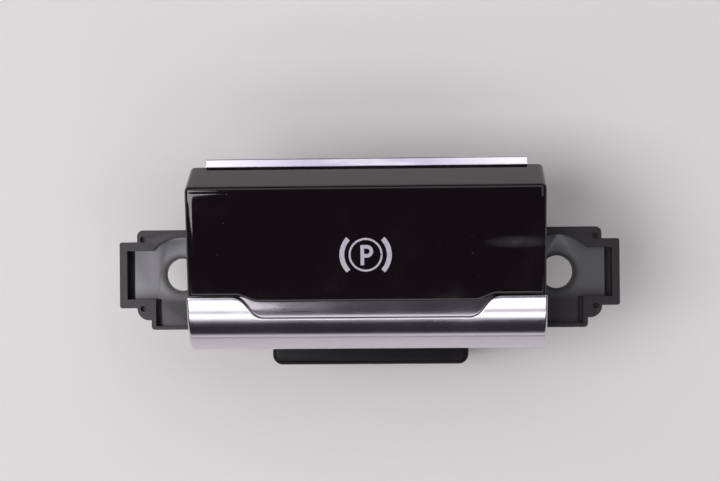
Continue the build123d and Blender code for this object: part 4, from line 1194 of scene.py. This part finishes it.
class SWITCH_OT_plungers(bpy.types.Operator):
    """Plungers, springs, domes and the mat round them"""
    bl_idname = "switch.plungers"
    bl_label = "Plungers and springs"

    def execute(self, context):
        look = moulded_look(
            "Natural plastic", colours().natural, 0.4, cell=0.4, depth=0.01, tone=0.08, scuff=0.1)
        steel = steel_look("Spring steel", colours().steel, 0.24)
        silicone = soft_look("Silicone", colours().silicone)
        wire, turns = size("spring_wire"), context.scene.switch_sizes.spring_turns
        for action, y in PLUNGER_Y.items():
            for side, x in (("left", -PLUNGER_X), ("right", PLUNGER_X)):
                label = f"{action}_{{}}_{side}"
                plunger = plunger_piece(label.format("plunger") + "_turned", x, y)
                settle(plunger, f"{action}_plungers", "plunger_natural", look, label.format("plunger"))
                spring = spring_piece(label.format("spring") + "_wound", x, y, wire, turns)
                spring.data.materials.append(steel)
                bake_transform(spring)
                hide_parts(label.format("spring"))
                dome = dome_piece(label.format("dome") + "_moulded", x, y)
                settle(dome, "housing", "silicone_grey", silicone, label.format("dome"))
                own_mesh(dome)
        mould("contact_mat", "housing", "silicone_grey", silicone)
        return {"FINISHED"}


class SWITCH_OT_board(bpy.types.Operator):
    """Circuit board with its parts, lamps, light guide, socket and contacts"""
    bl_idname = "switch.board"
    bl_label = "Board and socket"

    def execute(self, context):
        dress("circuit_board", board_look(colours().board))
        dress("board_components", moulded_look("Chip package", (0.012, 0.012, 0.013), 0.5, cell=0.12))
        look = moulded_look("Socket plastic", (0.014, 0.014, 0.016), 0.33, cell=0.3, depth=0.012)
        mould("connector_header", "housing", "header_black", look, 0.6)
        dress("connector_pins", steel_look("Tinned contact", (0.66, 0.64, 0.58), 0.22))
        white, amber = (0.72, 0.71, 0.66), (0.62, 0.36, 0.08)
        dress("symbol_led", moulded_look("Lamp case white", white, 0.35, cell=0.2, tone=0.06, scuff=0.1))
        dress("status_led", moulded_look("Lamp case amber", amber, 0.35, cell=0.2, tone=0.1, scuff=0.1))
        dress("light_guide", clear_look("Clear guide", (0.93, 0.95, 0.95), 0.06, 0.95))
        return {"FINISHED"}


class SWITCH_OT_metal(bpy.types.Operator):
    """Pivot pin, screws and rubber stops"""
    bl_idname = "switch.metal"
    bl_label = "Pin, screws and stops"

    def execute(self, context):
        dress("pivot_pin", steel_look("Ground steel", toned(colours().steel, 1.1), 0.18))
        zinc = steel_look("Zinc steel", (0.55, 0.55, 0.53), 0.3, stretch=4.0)
        settle(screw_piece("cover_screws", SCREW_PLACES), "housing", "screw_steel", zinc, "housing_screws")
        mould("bump_stops", "housing", "stop_rubber", soft_look("Stop rubber", (0.02, 0.02, 0.022), 0.7, 0.0))
        return {"FINISHED"}


class SWITCH_OT_stage(bpy.types.Operator):
    """Pale floor, soft studio lamps and the camera"""
    bl_idname = "switch.stage"
    bl_label = "Studio"

    def execute(self, context):
        self.floor()
        self.world(context)
        for lamp in LAMPS:
            self.lamp(*lamp)
        self.camera(context)
        return {"FINISHED"}

    def floor(self):
        """A wide flat grid just below the switch."""
        places = np.linspace(-FLOOR_HALF, FLOOR_HALF, 9) / MM
        flat = np.stack(np.meshgrid(places, places, indexing="ij"), -1)
        points = raised(flat, (frame_box[0].z - FLOOR_GAP) / MM)
        floor = new_piece("studio_floor", points, grid_faces(len(places), len(places)))
        tone = colours().floor
        look = Look("Studio floor", tone, 0.65, Specular_IOR_Level=0.2)
        out = look.use("Moulded grain", Cells=1200.0, Tone=9.0)
        base = look.varied(out["Tone"], tone, 0.985, 1.015)
        floor.data.materials.append(look.finish(base, 0.65, out["Height"], 0.15, 0.02))
        if sum(p.normal.z for p in floor.data.polygons) < 0:
            floor.data.flip_normals()

    def world(self, context):
        """White surround near the horizon, and a dim ceiling above it."""
        world = bpy.data.worlds.new("Studio surround")
        context.scene.world = world
        world.use_nodes = True
        w = Wiring(world.node_tree)
        height = w.axes(w.node("ShaderNodeTexCoord").outputs["Generated"])["Z"]
        colour = w.mix(w.ramp(height, 0.07, 0.20), (0.84, 0.83, 0.83), (0.035, 0.033, 0.038))
        w.put(world.node_tree.nodes["Background"].inputs["Color"], colour)

    def lamp(self, name, lean, bearing, extent, level, colour, spin):
        """A rectangular softbox that faces the switch: lean is its angle from straight up, bearing its
        direction from +X, level how bright its face is, and spin its turn in its own plane."""
        data = bpy.data.lights.new(name, "AREA")
        data.shape = "RECTANGLE"
        data.size, data.size_y = extent
        data.energy = level * math.pi * extent[0] * extent[1]
        data.color = colour
        lamp = bpy.data.objects.new(name, data)
        tilt, turn = math.radians(lean), math.radians(bearing)
        away = (math.sin(tilt) * math.cos(turn), math.sin(tilt) * math.sin(turn), math.cos(tilt))
        lamp.location = tuple(LAMP_DISTANCE * a for a in away)
        facing = Matrix.Rotation(math.atan2(away[0], -away[1]), 3, "Z") @ Matrix.Rotation(tilt, 3, "X")
        lamp.rotation_euler = (facing @ Matrix.Rotation(math.radians(spin), 3, "Z")).to_euler()
        bpy.context.scene.collection.objects.link(lamp)

    def camera(self, context):
        """The photograph's place and angle: nearly straight down, 75 mm."""
        data = bpy.data.cameras.new("camera")
        data.lens = 75.0
        data.sensor_width = 36.0
        data.clip_start = 0.01
        data.clip_end = 20
        camera = bpy.data.objects.new("camera", data)
        camera.location = CAMERA_PLACE
        camera.rotation_euler = tuple(math.radians(a) for a in CAMERA_TURN)
        context.scene.collection.objects.link(camera)
        context.scene.camera = camera
        context.scene.view_settings.view_transform = "Standard"


PIECES = (
    SWITCH_OT_cap, SWITCH_OT_lip, SWITCH_OT_strip, SWITCH_OT_housing, SWITCH_OT_carrier, SWITCH_OT_plungers,
    SWITCH_OT_board, SWITCH_OT_metal, SWITCH_OT_stage,
)


class SWITCH_PT_panel(bpy.types.Panel):
    bl_label = "Parking brake switch"
    bl_idname = "SWITCH_PT_panel"
    bl_space_type = "VIEW_3D"
    bl_region_type = "UI"
    bl_category = "Switch"

    def draw(self, context):
        for piece in PIECES:
            self.layout.operator(piece.bl_idname)
        for group in (context.scene.switch_sizes, context.scene.switch_colours):
            for key in group.__annotations__:
                self.layout.prop(group, key)


CLASSES = (SwitchSizes, SwitchColours) + PIECES + (SWITCH_PT_panel,)


def register():
    for item in CLASSES:
        bpy.utils.register_class(item)
    bpy.types.Scene.switch_sizes = PointerProperty(type=SwitchSizes)
    bpy.types.Scene.switch_colours = PointerProperty(type=SwitchColours)


def unregister():
    del bpy.types.Scene.switch_colours
    del bpy.types.Scene.switch_sizes
    for item in reversed(CLASSES):
        bpy.utils.unregister_class(item)


def main():
    register()
    for piece in PIECES:
        family, action = piece.bl_idname.split(".")
        getattr(getattr(bpy.ops, family), action)()


if __name__ == "__main__":
    main()
